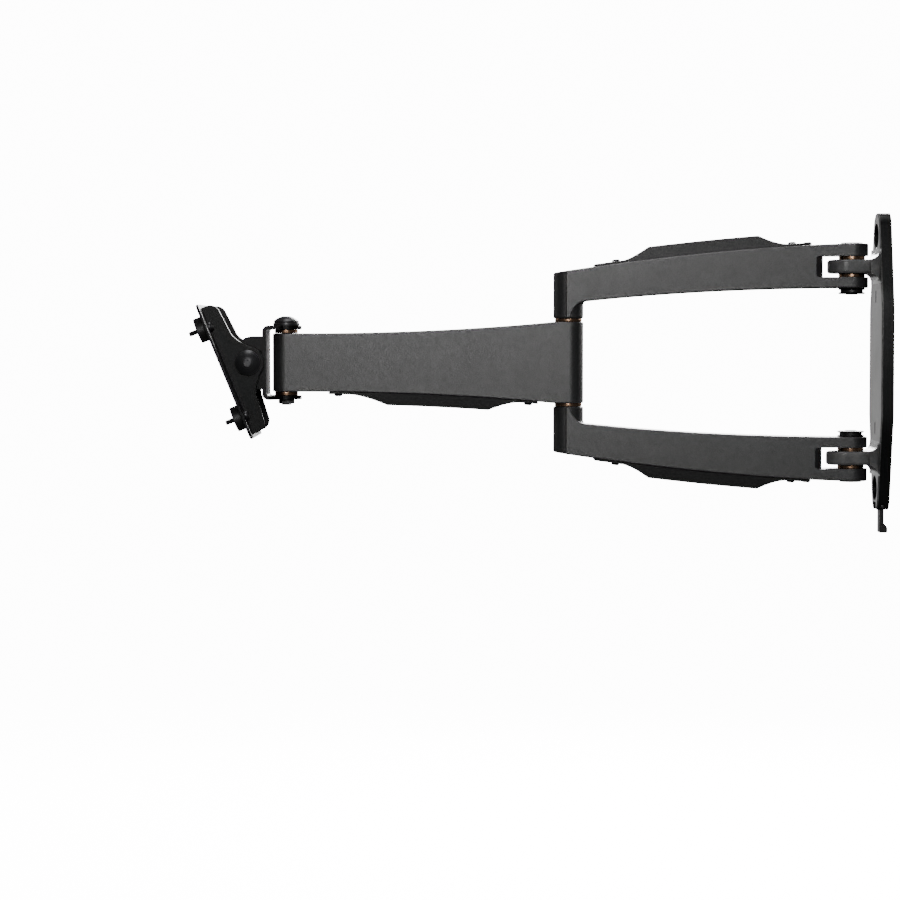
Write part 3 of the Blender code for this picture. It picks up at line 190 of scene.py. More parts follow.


# each edge colour is what the marked rounded faces take: rubbed wear and painted highlight
looks = {
    "powderCoat": {"dark": (0.009, 0.009, 0.0095), "light": (0.027, 0.027, 0.028),
                   "dust": (0.034, 0.034, 0.035),
                   "edge": (0.11, 0.11, 0.11), "grain": 1100, "cloud": 20, "clouding": 0.25, "rubScale": 90,
                   "rub": 0.35, "rough": 0.40, "roughSpread": 0.24, "relief": 0.75, "depth": 0.00022,
                   "metallic": 0.0, "specular": 0.85, "coat": 0.0},
    "castPaint": {"dark": (0.004, 0.004, 0.0043), "light": (0.008, 0.008, 0.0083),
                  "dust": (0.014, 0.014, 0.0145),
                  "edge": (0.19, 0.19, 0.19), "grain": 1000, "cloud": 30, "clouding": 0.25, "rubScale": 80,
                  "rub": 0.80, "rough": 0.31, "roughSpread": 0.12, "relief": 0.22, "depth": 0.0002,
                  "metallic": 0.0, "specular": 0.28, "coat": 0.0},
    # the sheet's own black, made darker still: painted shade for the screen's shadow over the head
    "blackSheet": {"dark": (0.0016, 0.0016, 0.0018), "light": (0.004, 0.004, 0.0042),
                   "dust": (0.008, 0.008, 0.0085),
                   "edge": (0.05, 0.05, 0.05), "grain": 1700, "cloud": 40, "clouding": 0.25, "rubScale": 120,
                   "rub": 0.35, "rough": 0.36, "roughSpread": 0.14, "relief": 0.25, "depth": 0.00012,
                   "metallic": 0.0, "specular": 0.14, "coat": 0.0},
    "blackPlastic": {"dark": (0.0025, 0.0025, 0.0027), "light": (0.007, 0.007, 0.0073),
                     "dust": (0.010, 0.010, 0.0105),
                     "edge": (0.020, 0.020, 0.021), "pits": 1500, "flow": 35, "rub": 0.35, "rough": 0.44,
                     "relief": 0.55, "depth": 0.0002, "specular": 0.42},
    "spacerBlack": {"dark": (0.006, 0.006, 0.006), "light": (0.013, 0.013, 0.013), "dust": (0.02, 0.02, 0.02),
                    "edge": (0.03, 0.03, 0.03), "pits": 1900, "flow": 60, "rub": 0.3, "rough": 0.46,
                    "relief": 0.4, "depth": 0.00015, "specular": 0.45},
    "bronze": {"dark": (0.22, 0.125, 0.075), "light": (0.46, 0.29, 0.19), "tarnish": (0.08, 0.045, 0.032),
               "edge": (0.70, 0.48, 0.34), "rings": 2600, "marks": 260, "stain": 0.5, "rough": 0.27,
               "relief": 0.35, "metallic": 1.0, "coat": 0.0},
    "darkSteel": {"dark": (0.030, 0.030, 0.032), "light": (0.065, 0.065, 0.068),
                  "tarnish": (0.018, 0.018, 0.019),
                  "edge": (0.14, 0.14, 0.14), "rings": 2200, "marks": 180, "stain": 0.5, "rough": 0.36,
                  "relief": 0.25, "metallic": 0.6, "coat": 0.1},
    "nutBlack": {"dark": (0.008, 0.008, 0.009), "light": (0.018, 0.018, 0.019),
                 "tarnish": (0.006, 0.006, 0.006),
                 "edge": (0.04, 0.04, 0.04), "rings": 2400, "marks": 220, "stain": 0.4, "rough": 0.30,
                 "relief": 0.2, "metallic": 0.2, "coat": 0.12},
}
powderCoat = grainedCoat("powderCoat", looks["powderCoat"])
castPaint = grainedCoat("castPaint", looks["castPaint"])
blackSheet = grainedCoat("blackSheet", looks["blackSheet"])
blackPlastic = mouldedPlastic("blackPlastic", looks["blackPlastic"])
spacerBlack = mouldedPlastic("spacerBlack", looks["spacerBlack"])
axisPlaces = {
    "Wall": ((0, wallY, 0), "Z"), "Elbow": ((0, elbowY, 0), "Z"), "Swivel": ((0, swivelY, 0), "Z"),
    "Tilt": ((0, tiltY, 0), "X"), "Catch": ((0, catchY, catchZ), "X"),
}
turnedPaints = {}


def turnedPaint(kind, place):
    # one material for each metal at each pivot, so that its rings run round that pivot
    key = kind + place
    if key not in turnedPaints:
        turnedPaints[key] = turnedMetal(key, looks[kind], *axisPlaces[place])
    return turnedPaints[key]


print("materials ready")


# Modelling helpers: each returns the piece or the shape it was given

def toObject(name, shape, place=None):
    if place is not None:
        bmesh.ops.transform(shape, matrix=place, verts=shape.verts)
    bmesh.ops.remove_doubles(shape, verts=shape.verts, dist=1e-6)
    bmesh.ops.recalc_face_normals(shape, faces=shape.faces)
    mesh = bpy.data.meshes.new(name)
    shape.to_mesh(mesh)
    shape.free()
    piece = bpy.data.objects.new(name, mesh)
    bpy.context.scene.collection.objects.link(piece)
    return piece


def combine(piece, other, operation="DIFFERENCE"):
    # applies one Boolean and removes the other solid
    change = piece.modifiers.new("join", "BOOLEAN")
    change.operation, change.solver, change.object = operation, "MANIFOLD", other
    graph = bpy.context.evaluated_depsgraph_get()
    result = bpy.data.meshes.new_from_object(piece.evaluated_get(graph), depsgraph=graph)
    piece.modifiers.remove(change)
    old = piece.data
    piece.data = result
    bpy.data.meshes.remove(old)
    bpy.data.objects.remove(other)
    return piece


def finishPiece(piece, body, nodes, paint, place=None, sharp=38):
    mesh = piece.data
    if place is not None:
        mesh.transform(place)
    mesh.materials.clear()
    mesh.materials.append(paint)
    mesh.shade_smooth()
    mesh.set_sharp_from_angle(angle=math.radians(sharp))
    even = piece.modifiers.new("even", "WEIGHTED_NORMAL")
    even.keep_sharp = True
    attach(piece, body)
    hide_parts(*nodes)
    return piece


def soften(shape, width, segments=2, chosen=None, angle=32):
    # rounds the edges that turn more than the angle, and marks the new faces for the lighter edge colour:
    # rubbed wear and painted highlight
    layer = shape.faces.layers.float.get("worn") or shape.faces.layers.float.new("worn")
    edges = [e for e in shape.edges if e.is_manifold and e.calc_face_angle() > math.radians(angle)
             and (chosen is None or chosen(e))]
    made = bmesh.ops.bevel(shape, geom=edges, offset=width, offset_type="OFFSET", affect="EDGES",
                           segments=segments, profile=0.5, material=-1, clamp_overlap=False)
    for face in made["faces"]:
        face[layer] = 1.0
    return shape


def traced(plane, start, moves):
    # a closed outline drawn with a pen: straight runs, and turns about a centre, then filled
    spots = {"X": lambda a, b: (0, a, b), "Y": lambda a, b: (a, 0, b), "Z": lambda a, b: (a, b, 0)}
    spot = spots[plane]
    axis = {"X": (1, 0, 0), "Y": (0, -1, 0), "Z": (0, 0, 1)}[plane]
    shape = bmesh.new()
    tip = shape.verts.new(spot(*start))
    for move in moves:
        if move[0] == "to":
            new = bmesh.ops.extrude_vert_indiv(shape, verts=[tip])["verts"][0]
            new.co = spot(*move[1])
            tip = new
        else:
            centre, degrees, steps = move[1:]
            last = bmesh.ops.spin(shape, geom=[tip], cent=spot(*centre), axis=axis,
                                  angle=math.radians(degrees), steps=steps)["geom_last"]
            tip = next(v for v in last if isinstance(v, bmesh.types.BMVert))
    bmesh.ops.remove_doubles(shape, verts=shape.verts, dist=1e-6)
    loose = [v for v in shape.verts if len(v.link_edges) == 1]
    if len(loose) == 2:
        shape.edges.new(loose)
    bmesh.ops.contextual_create(shape, geom=shape.edges)
    return shape


def thicken(shape, plane, low, high):
    # turns a flat outline into a solid between two levels
    along = {"X": Vector((1, 0, 0)), "Y": Vector((0, 1, 0)), "Z": Vector((0, 0, 1))}[plane]
    bmesh.ops.translate(shape, verts=shape.verts, vec=along * low)
    made = bmesh.ops.extrude_face_region(shape, geom=shape.faces[:], use_keep_orig=True)
    far = [v for v in made["geom"] if isinstance(v, bmesh.types.BMVert)]
    bmesh.ops.translate(shape, verts=far, vec=along * (high - low))
    bmesh.ops.recalc_face_normals(shape, faces=shape.faces)
    return shape


def slab(name, plane, start, moves, low, high, rounding=0.0, segments=2, chosen=None, place=None):
    shape = thicken(traced(plane, start, moves), plane, low, high)
    if rounding:
        soften(shape, rounding, segments, chosen)
    return toObject(name, shape, place)


def roundedMoves(centre, width, height, radius, steps=6):
    # pen moves for a rectangle with round corners, from the middle of its right side
    x, y, a, b = *centre, width / 2, height / 2
    corners = ((1, 1), (-1, 1), (-1, -1), (1, -1))
    moves = []
    for n, (sx, sy) in enumerate(corners):
        middle = (x + sx * (a - radius), y + sy * (b - radius))
        entry = (x + sx * a, middle[1]) if n % 2 == 0 else (middle[0], y + sy * b)
        moves += [("to", entry), ("turn", middle, 90, steps)]
    return (x + a, y), moves


def block(name, plane, centre, width, height, radius, low, high):
    start, moves = roundedMoves(centre, width, height, radius)
    return slab(name, plane, start, moves, low, high)


def lathed(name, profile, steps=48, rounding=0.0, segments=2, place=None):
    # spins a profile of (radius, height) round Z
    shape = bmesh.new()
    tip = first = shape.verts.new((profile[0][0], 0, profile[0][1]))
    for radius, height in profile[1:]:
        new = bmesh.ops.extrude_vert_indiv(shape, verts=[tip])["verts"][0]
        new.co = (radius, 0, height)
        tip = new
    if profile[0][0] > 1e-6:
        shape.edges.new((tip, first))
    bmesh.ops.spin(shape, geom=shape.verts[:] + shape.edges[:], cent=(0, 0, 0), axis=(0, 0, 1),
                   angle=math.tau, steps=steps, use_merge=True)
    bmesh.ops.remove_doubles(shape, verts=shape.verts, dist=1e-6)
    bmesh.ops.delete(shape, geom=[e for e in shape.edges if not e.link_faces], context="EDGES")
    bmesh.ops.recalc_face_normals(shape, faces=shape.faces)
    if rounding:
        soften(shape, rounding, segments)
    return toObject(name, shape, place)


def ringProfile(outer, inner, low, high):
    return [(inner / 2, low), (outer / 2, low), (outer / 2, high), (inner / 2, high)]


def rodProfile(diameter, low, high):
    return [(0, low), (diameter / 2, low), (diameter / 2, high), (0, high)]


def polygonBar(name, across, sides, low, high, place=None):
    shape = bmesh.new()
    radius = across / 2 / math.cos(math.pi / sides)
    bmesh.ops.create_circle(shape, cap_ends=True, radius=radius, segments=sides)
    thicken(shape, "Z", low, high)
    return toObject(name, shape, place)


def upright(y, z=0.0, side=1, x=0.0):
    # Z stays up, or points down for the lower half
    turn = Matrix.Rotation(0 if side > 0 else math.pi, 4, "X")
    return Matrix.Translation((x, y, z)) @ turn


def sideways(y=0.0, z=0.0):
    return Matrix.Translation((0, y, z)) @ Matrix.Rotation(math.pi / 2, 4, "Y")


def outwards(x, y, z):
    # Z points out of the wall
    return Matrix.Translation((x, y, z)) @ Matrix.Rotation(math.pi / 2, 4, "X")


def mirrorZ(piece):
    # turns an upper piece into its lower twin
    piece.data.transform(Matrix.Scale(-1, 4, (0, 0, 1)))
    piece.data.flip_normals()
    return piece


def eased(start, end, share, power):
    return end + (start - end) * (1 - min(max(share, 0), 1)) ** power


def spread(start, end, count):
    return [start + (end - start) * n / count for n in range(count + 1)]


def cutAcross(shape, along, distance, near=1e-6):
    # divides the faces on a plane square to the direction
    bmesh.ops.bisect_plane(shape, geom=shape.verts[:] + shape.edges[:] + shape.faces[:], dist=near,
                           plane_co=Vector(along) * distance, plane_no=along)


def squareTo(edge, axis):
    # true for an edge with no length along the axis
    first, second = (getattr(v.co, axis) for v in edge.verts)
    return abs(first - second) < 1e-5


def bodyBetween(shape, stations, top, bottom):
    # a solid over a plan whose top and bottom follow two heights along Y
    for y in stations:
        cutAcross(shape, (0, 1, 0), y)
    made = bmesh.ops.extrude_face_region(shape, geom=shape.faces[:], use_keep_orig=True)
    upper = [v for v in made["geom"] if isinstance(v, bmesh.types.BMVert)]
    for v in shape.verts:
        v.co.z = bottom(v.co.y)
    for v in upper:
        v.co.z = top(v.co.y)
    bmesh.ops.recalc_face_normals(shape, faces=shape.faces)
    return shape


def crossRecess(piece, place, size, depth):
    # driver recess: two crossed tapered blades
    for turn in (0, 90):
        shape = bmesh.new()
        bmesh.ops.create_cube(shape, size=1.0)
        for v in shape.verts:
            narrow = 0.45 if v.co.z < 0 else 1.0
            v.co = Vector((v.co.x * size * narrow, v.co.y * size * 0.24, v.co.z * 2 * depth))
        bmesh.ops.rotate(shape, verts=shape.verts, matrix=Matrix.Rotation(math.radians(turn + 20), 3, "Z"))
        combine(piece, toObject("blade", shape, place))
    return piece


def drill(piece, diameter, low, high, place, steps=40):
    # a round hole about the place's Z
    return combine(piece, lathed("drill", rodProfile(diameter, low, high), steps, place=place))


def heights(node, side=1):
    # where a CAD node starts and ends along Z, turned over for the lower half
    low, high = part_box(node)
    return (low.z, high.z) if side > 0 else (-high.z, -low.z)


pivotPlaces = {"Wall": upright(wallY), "Elbow": upright(elbowY), "Swivel": upright(swivelY),
               "Tilt": sideways(tiltY), "Catch": sideways(catchY, catchZ)}


def metalPiece(piece, body, node, metal, pivot, place=None, sharp=38):
    return finishPiece(piece, body, [node], turnedPaint(metal, pivot), place, sharp)


def ring(name, node, body, metal, pivot, outer, inner, more, steps, rounding, segments):
    # a bush or washer as long as its CAD node, with a little more at both ends to close a gap
    low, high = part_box(node)
    along = "XYZ".index(axisPlaces[pivot][1])
    profile = ringProfile(outer, inner, low[along] - more, high[along] + more)
    piece = lathed(name, profile, steps, rounding, segments, pivotPlaces[pivot])
    return metalPiece(piece, body, node, metal, pivot)


print("modelling tools ready")


# Cast wall plate with its two tongues

plateSizes = {
    "width": 0.056, "halfHeight": 0.1195, "thickness": 0.010, "flank": 0.084, "endRadius": 0.013,
    "edge": 0.0011, "anchorZ": 0.101, "anchorHole": 0.009, "recess": 0.0185, "recessDepth": 0.004,
    "slotHeight": 0.010, "slotWidth": 0.0030, "slotCorner": 0.0014, "slotZ": 0.0525,
    "tongueZ": 0.0765, "tongueHeight": 0.011,
    "tongueWidth": 0.030, "nose": 0.0197, "noseRound": 0.0022, "root": 0.0082,
    "boreDiameter": 0.0146, "pocketWidth": 0.012, "pocketRoof": 0.0034, "pinHole": 0.0036,
}


def plateMoves(s):
    half, flank, top = s["width"] / 2, s["flank"] / 2, s["halfHeight"]
    centre = top - s["endRadius"]
    reach = math.hypot(half, centre - flank)
    start = math.degrees(math.atan2(flank - centre, half) + math.acos(s["endRadius"] / reach))
    angle = math.radians(start)
    touch = (s["endRadius"] * math.cos(angle), centre + s["endRadius"] * math.sin(angle))
    return (half, flank), [("to", touch), ("turn", (0, centre), 180 - 2 * start, 22), ("to", (-half, flank)),
                           ("to", (-half, -flank)), ("to", (-touch[0], -touch[1])),
                           ("turn", (0, -centre), 180 - 2 * start, 22), ("to", (half, -flank))]


def plateBody(s):
    # the face is divided into cells, two of which grow into tongues with hollow fillets at their roots
    start, moves = plateMoves(s)
    shape = thicken(traced("Y", start, moves), "Y", -s["thickness"], 0)
    half, level, room = s["tongueWidth"] / 2, s["tongueHeight"] / 2, s["root"] + 0.0002
    for side in (1, -1):
        cuts = [((side, 0, 0), half), ((side, 0, 0), half + room)]
        cuts += [((0, 0, side), s["tongueZ"] + offset)
                 for offset in (level, -level, level + room, -level - room)]
        for along, distance in cuts:
            cutAcross(shape, along, distance, 1e-7)
    soften(shape, s["edge"], 3, lambda e: max(v.co.y for v in e.verts) < -s["thickness"] / 2)
    face, tip = -s["thickness"], wallY - s["nose"]
    for side in (1, -1):
        middle = Vector((0, face, side * s["tongueZ"]))
        cell = min(shape.faces, key=lambda f: (f.calc_center_median() - middle).length)
        grown = bmesh.ops.extrude_discrete_faces(shape, faces=[cell])["faces"][0]
        bmesh.ops.translate(shape, verts=grown.verts, vec=(0, tip - face, 0))
    onFace = lambda e: all(abs(v.co.y - face) < 1e-5 and abs(v.co.x) < half + 1e-4
                           and abs(abs(v.co.z) - s["tongueZ"]) < level + 1e-4 for v in e.verts)
    # the root fillets are marked too, so they take the lighter edge colour: painted highlight and rubbed wear
    soften(shape, s["root"], 8, onFace, 20)
    return toObject("wallPlate", shape)


def roundNoses(piece, s):
    # trims the tongues to a round nose, rounds their rims and marks the whole tongue lighter: rubbed metal and
    # painted highlight
    half, tip, past = s["tongueWidth"] / 2, wallY - s["nose"], 0.002
    middle = tip + half
    moves = [("turn", (0, middle), -180, 28), ("to", (-half - past, middle)),
             ("to", (-half - past, tip - past)), ("to", (half + past, tip - past)),
             ("to", (half + past, middle))]
    combine(piece, slab("noseCutter", "Z", (half, middle), moves, -0.1, 0.1))
    level, front = s["tongueHeight"] / 2, -s["thickness"]
    shape = bmesh.new()
    shape.from_mesh(piece.data)
    rim = lambda e: (max(v.co.y for v in e.verts) < front - s["root"] + 1e-4
                     and squareTo(e, "z")
                     and abs(abs(abs(e.verts[0].co.z) - s["tongueZ"]) - level) < 1e-4)
    soften(shape, s["noseRound"], 4, rim, 60)
    layer = shape.faces.layers.float["worn"]
    # every face of the tongue takes the lighter edge colour: painted highlight and rubbed wear
    for face in shape.faces:
        if face.calc_center_median().y < front - 0.0002:
            face[layer] = 1.0
    shape.to_mesh(piece.data)
    shape.free()


def wallPlate(s):
    piece = plateBody(s)
    roundNoses(piece, s)
    for side in (1, -1):
        drill(piece, s["boreDiameter"], -0.012, 0.012, upright(wallY, side * s["tongueZ"]))
        face = outwards(0, -s["thickness"], side * s["anchorZ"])
        recess, hole, lip, floor = s["recess"] / 2, s["anchorHole"] / 2, 0.0008, -s["recessDepth"]
        anchor = [(0, -0.02), (hole, -0.02), (hole, floor - lip), (hole + lip, floor), (recess, floor),
                  (recess, -lip), (recess + lip, 0), (recess + lip, 0.006), (0, 0.006)]
        combine(piece, lathed("anchor", anchor, 48, place=face))
        combine(piece, block("slot", "Y", (0, side * s["slotZ"]), s["slotWidth"], s["slotHeight"],
                             s["slotCorner"], -0.02, 0.01))
    roof, half = catchZ + s["pocketRoof"], s["pocketWidth"] / 2
    combine(piece, block("pocket", "X", (0, roof - 0.02), 0.08, 0.04, 0.0008, -half, half))
    drill(piece, s["pinHole"], -0.02, 0.02, pivotPlaces["Catch"], 24)
    return finishPiece(piece, "wall", ["wall_plate"], castPaint)


wallPlate(plateSizes)
print("wall plate made")


# Catch that hangs below the plate, and its pin and spring

catchSizes = {"width": 0.0114, "thickness": 0.0034, "eye": 0.0028, "drop": 0.0213, "foot": 0.0030,
              "edge": 0.0004, "pin": 0.003, "pinHole": 0.0036, "groove": 0.0061, "grooveHalf": 0.00156,
              "wire": 0.0008, "turns": 3}


def plateCatch(s):
    half, eye, drop = s["thickness"] / 2, s["eye"], -s["drop"]
    neck = math.degrees(math.asin(half / eye))
    foot = half + s["foot"]
    low = -eye * math.cos(math.radians(neck))
    bevel = 0.0006
    moves = [("turn", (0, 0), 360 - 2 * neck, 28), ("to", (-half, drop + bevel)), ("to", (-half + bevel, drop)),
             ("to", (foot - 2 * bevel, drop)), ("to", (foot, drop + bevel)),
             ("to", (foot, drop + 1.4 * s["foot"])), ("to", (half, drop + 2.6 * s["foot"]))]
    width = s["width"] / 2
    place = Matrix.Translation((0, catchY, catchZ))
    piece = slab("plateCatch", "X", (half, low), moves, -width, width, s["edge"], 2,
                 lambda e: squareTo(e, "x"), place)
    drill(piece, s["pinHole"], -0.02, 0.02, pivotPlaces["Catch"], 24)
    drill(piece, s["groove"], -s["grooveHalf"], s["grooveHalf"], pivotPlaces["Catch"], 24)
    return finishPiece(piece, "catch", ["plate_catch"], blackPlastic)


def catchPin(s):
    low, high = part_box("catch_pin")
    piece = lathed("catchPin", rodProfile(s["pin"], low.x, high.x), 24, 0.0003, 2, pivotPlaces["Catch"])
    return metalPiece(piece, "wall", "catch_pin", "darkSteel", "Catch")


def catchSpring(s):
    # round wire wound about the pin
    shape = bmesh.new()
    wire, middle = s["wire"] / 2, s["pin"] / 2 + gap + s["wire"] / 2
    ring = bmesh.ops.create_circle(shape, cap_ends=True, radius=wire * 0.96, segments=10)["verts"]
    bmesh.ops.rotate(shape, verts=ring, matrix=Matrix.Rotation(math.pi / 2, 3, "X"))
    bmesh.ops.translate(shape, verts=ring, vec=(middle, 0, 0))
    pitch, turns = s["wire"] * 1.04, s["turns"] - 0.9
    count = int(24 * turns)
    bmesh.ops.spin(shape, geom=shape.faces[:], cent=(0, 0, 0), axis=(0, 0, 1), angle=math.tau * turns,
                   steps=count, dvec=(0, 0, pitch * turns / count))
    bmesh.ops.translate(shape, verts=shape.verts, vec=(0, 0, -pitch * turns / 2))
    piece = toObject("catchSpring", shape, pivotPlaces["Catch"])
    return metalPiece(piece, "wall", "catch_spring", "darkSteel", "Catch")


plateCatch(catchSizes)
catchPin(catchSizes)
catchSpring(catchSizes)
print("catch made")


# Pins, bushes, washers and nuts of the two wall pivots

pivotSizes = {"pin": 0.010, "pinBore": 0.0106, "bushOuter": 0.0140, "washer": 0.0208, "head": 0.0178,
              "headHeight": 0.0035, "nut": 0.0216, "nutHeight": 0.0045, "groove": 0.0015, "neck": 0.0018,
              "socket": 0.006, "socketDepth": 0.0022}


def wallPivot(s, label, side):
    place = upright(wallY, side=side)
    ring(f"wallBush.{label}", f"wall_bush_{label}", "wall", "bronze", "Wall", s["bushOuter"], s["pinBore"],
         0, 40, 0.0002, 2)
    for end in ("outer", "inner"):
        ring(f"wallWasher.{label}.{end}", f"wall_washer_{label}_{end}", "wall", "bronze", "Wall", s["washer"],
             s["pinBore"], seal, 56, 0.0005, 3)
    foot, top = heights(f"wall_pin_{label}", side)
    head, shank, rise, under = s["head"] / 2, s["pin"] / 2, 0.0007, top - s["headHeight"]
    profile = [(0, foot), (shank - 0.0006, foot), (shank, foot + 0.0006), (shank, under), (head, under),
               (head, top - rise), (head - rise * 0.4, top - rise * 0.25), (head - rise, top), (0, top)]
    pin = lathed(f"wallPin.{label}", profile, 56, place=place)
    combine(pin, polygonBar("socket", s["socket"], 6, top - s["socketDepth"], top + 0.001, place=place))
    finishPiece(pin, "arms", [f"wall_pin_{label}"], powderCoat)
    foot, top = heights(f"wall_nut_{label}", side)
    top += seal
    # two discs with a groove between them
    rim, inner, neck = s["nut"] / 2, s["pinBore"] / 2, s["neck"]
    disc = (s["nutHeight"] - s["groove"]) / 2
    profile = [(inner, foot), (rim - neck / 2, foot)]
    for base in (foot, top - disc):
        profile += [(rim - 0.0003, base + disc * 0.28), (rim, base + disc * 0.5),
                    (rim - 0.0003, base + disc * 0.72), (rim - neck / 2, base + disc)]
        if base == foot:
            profile += [(rim - neck, base + disc), (rim - neck, top - disc), (rim - neck / 2, top - disc)]
    profile += [(inner, top)]
    nut = lathed(f"wallNut.{label}", profile, 56, place=place)
    metalPiece(nut, "arms", f"wall_nut_{label}", "nutBlack", "Wall", sharp=50)


for label, side in halves:
    wallPivot(pivotSizes, label, side)
print("wall pivots made")


# Frame arms

armSizes = {
    "width": 0.026, "topAtWall": 0.095, "topAtElbow": 0.0716, "bottomAtWall": 0.0595,
    "stepAtElbow": 0.0459, "barrelEnd": 0.035, "elbowRadius": 0.012, "stepFillet": 0.003,
    "cheekArc": 0.0135, "crease": 0.0018,
    "outerCurve": 1.65, "innerCurve": 2.2, "edge": 0.0010, "forkHeight": 0.0170, "forkDepth": 0.0304,
    "forkCorner": 0.0025, "forkBulge": 0.0070, "forkZ": 0.0765, "channelWidth": 0.014, "channelFloor": 0.008,
    "channelInsets": (0.062, 0.0491), "screwInsets": (0.048, 0.0382), "thread": 0.0034, "threadDepth": 0.0086,
    "pinHead": 0.0184, "pinBore": 0.0106, "shaftHead": 0.0156, "shaftSeat": 0.0638, "shaftBore": 0.0106,
}


def armTop(y, s=armSizes):
    wall, elbow = wallY + s["width"] / 2, elbowY - s["elbowRadius"]
    return eased(s["topAtElbow"], s["topAtWall"], (y - elbow) / (wall - elbow), s["outerCurve"])


def armUnder(y, s=armSizes):
    wall, elbow = wallY + s["width"] / 2, elbowY + s["elbowRadius"] + s["stepFillet"]
    share = (y - elbow) / (wall - elbow)
    return eased(s["stepAtElbow"] + s["stepFillet"], s["bottomAtWall"], share, s["innerCurve"])


def armPlan(s, inset=0.0):
    # round at the wall end and at the elbow end, with straight sides between
    half, end = s["width"] / 2 - inset, s["elbowRadius"] - 0.0002 - inset
    ease, turn = elbowY - s["crease"], math.radians(15)
    moves = [("turn", (0, wallY), 180, 36), ("to", (-half, ease)),
             ("to", (-end * math.cos(turn), elbowY - end * math.sin(turn))),
             ("turn", (0, elbowY), 150, 30), ("to", (half, ease))]
    return traced("Z", (half, wallY), moves)


def cheekUnder(y, s=armSizes):
    # the flat side sweeps down in a hollow arc to the foot of the barrel
    arc = s["cheekArc"]
    start = elbowY + arc + 0.0015
    if y >= start:
        return armUnder(y)
    drop = arc - math.sqrt(max(arc**2 - min(start - y, arc) ** 2, 0))
    return max(armUnder(y) - drop, s["barrelEnd"] + 0.0004)


def frameArm(s, label, side):
    near, far = wallY + s["width"] / 2, elbowY - s["elbowRadius"]
    arcStations = [elbowY + 0.0015 + s["cheekArc"] * (1 - math.cos(math.radians(a))) for a in range(6, 91, 7)]
    stations = spread(far + 0.004, elbowY, 2) + arcStations + spread(elbowY + 0.016, near - 0.001, 26)
    shape = bodyBetween(armPlan(s), stations, armTop, cheekUnder)
    rim = lambda e: (e.verts[0].co - e.verts[1].co).xy.length > 1e-5
    soften(shape, s["edge"], 3, rim, 40)
    # faces along the elbow crease take the lighter edge colour: a painted highlight line
    layer = shape.faces.layers.float["worn"]
    for face in shape.faces:
        middle = face.calc_center_median()
        if abs(middle.x) > 0.0115 and elbowY - 0.004 < middle.y < elbowY - s["crease"]:
            face[layer] = 1.0
    piece = toObject(f"{label}Arm", shape)
    radius, fillet = s["elbowRadius"], s["stepFillet"]
    low, top = s["barrelEnd"], s["stepAtElbow"]
    barrelTop = s["topAtElbow"] - 0.0009
    barrel = [(0, low), (radius - 0.0015, low), (radius - 0.0011, low + 0.0001),
              (radius - 0.0004, low + 0.0005), (radius - 0.0001, low + 0.0011), (radius, low + 0.0016),
              (radius, barrelTop), (0, barrelTop)]
    combine(piece, lathed("barrel", barrel, 72, place=upright(elbowY)), "UNION")
    flare = [(0, low + 0.004), (radius - 0.0003, low + 0.004), (radius - 0.0003, top)]
    flare += [(radius + fillet * (1 - math.cos(math.radians(a))), top + fillet * math.sin(math.radians(a)))
              for a in range(15, 91, 15)]
    flare += [(radius + fillet, top + fillet + 0.0012), (0, top + fillet + 0.0012)]
    collar = lathed("collar", flare, 72, place=upright(elbowY))
    combine(collar, toObject("armPlan", thicken(armPlan(s, 0.0002), "Z", 0.03, 0.09)), "INTERSECT")
    combine(piece, collar, "UNION")
    combine(piece, block("forkSlot", "X", (wallY + 0.03 - s["forkDepth"], s["forkZ"]), 0.06, s["forkHeight"],
                         s["forkCorner"], -0.05, 0.05))
    chord = s["width"] / 2 - 0.0006
    bow = (chord**2 + s["forkBulge"] ** 2) / (2 * s["forkBulge"])
    sweep = math.degrees(math.asin(chord / bow))
    back, middle = wallY - s["forkDepth"], wallY - s["forkDepth"] + s["forkBulge"] - bow
    moves = [("turn", (0, middle), 2 * sweep, 24), ("to", (-chord, back - 0.003)),
             ("to", (chord, back - 0.003))]
    bulge = slab("forkEnd", "Z", (chord, back), moves, s["forkZ"] - s["forkHeight"] / 2 - 0.0006,
                 s["forkZ"] + s["forkHeight"] / 2 + 0.0006)
    combine(piece, bulge, "UNION")
    channelNear, channelFar = wallY - s["channelInsets"][0], elbowY + s["channelInsets"][1]
    floor = [("to", (y, armUnder(y) + s["channelFloor"])) for y in spread(channelNear, channelFar, 10)]
    channel = slab("channel", "X", (channelNear, 0.12), floor + [("to", (channelFar, 0.12))],
                   -s["channelWidth"] / 2, s["channelWidth"] / 2)
    combine(piece, channel)
    drill(piece, s["pinBore"], 0.04, 0.12, upright(wallY))
    pinHead, lip, deck = s["pinHead"] / 2, 0.0005, s["topAtWall"]
    recess = [(0, deck - 0.003), (pinHead, deck - 0.003), (pinHead, deck - lip), (pinHead + lip, deck + 0.0001),
              (pinHead + lip, 0.12), (0, 0.12)]
    combine(piece, lathed("pinRecess", recess, 56, place=upright(wallY)))
    drill(piece, s["shaftBore"], 0.02, 0.12, upright(elbowY))
    shaftHead, deck = s["shaftHead"] / 2, armTop(elbowY)
    recess = [(0, s["shaftSeat"] - 0.0003), (shaftHead, s["shaftSeat"] - 0.0003), (shaftHead, deck - lip),
              (shaftHead + 2 * lip, deck + lip), (shaftHead + 2 * lip, 0.12), (0, 0.12)]
    combine(piece, lathed("shaftRecess", recess, 48, place=upright(elbowY)))
    for y in coverScrews():
        drill(piece, s["thread"], -s["threadDepth"], 0.01, onEdge(y, armTop), 20)
    if side < 0:
        mirrorZ(piece)
    return finishPiece(piece, "arms", [f"{label}_arm"], powderCoat)


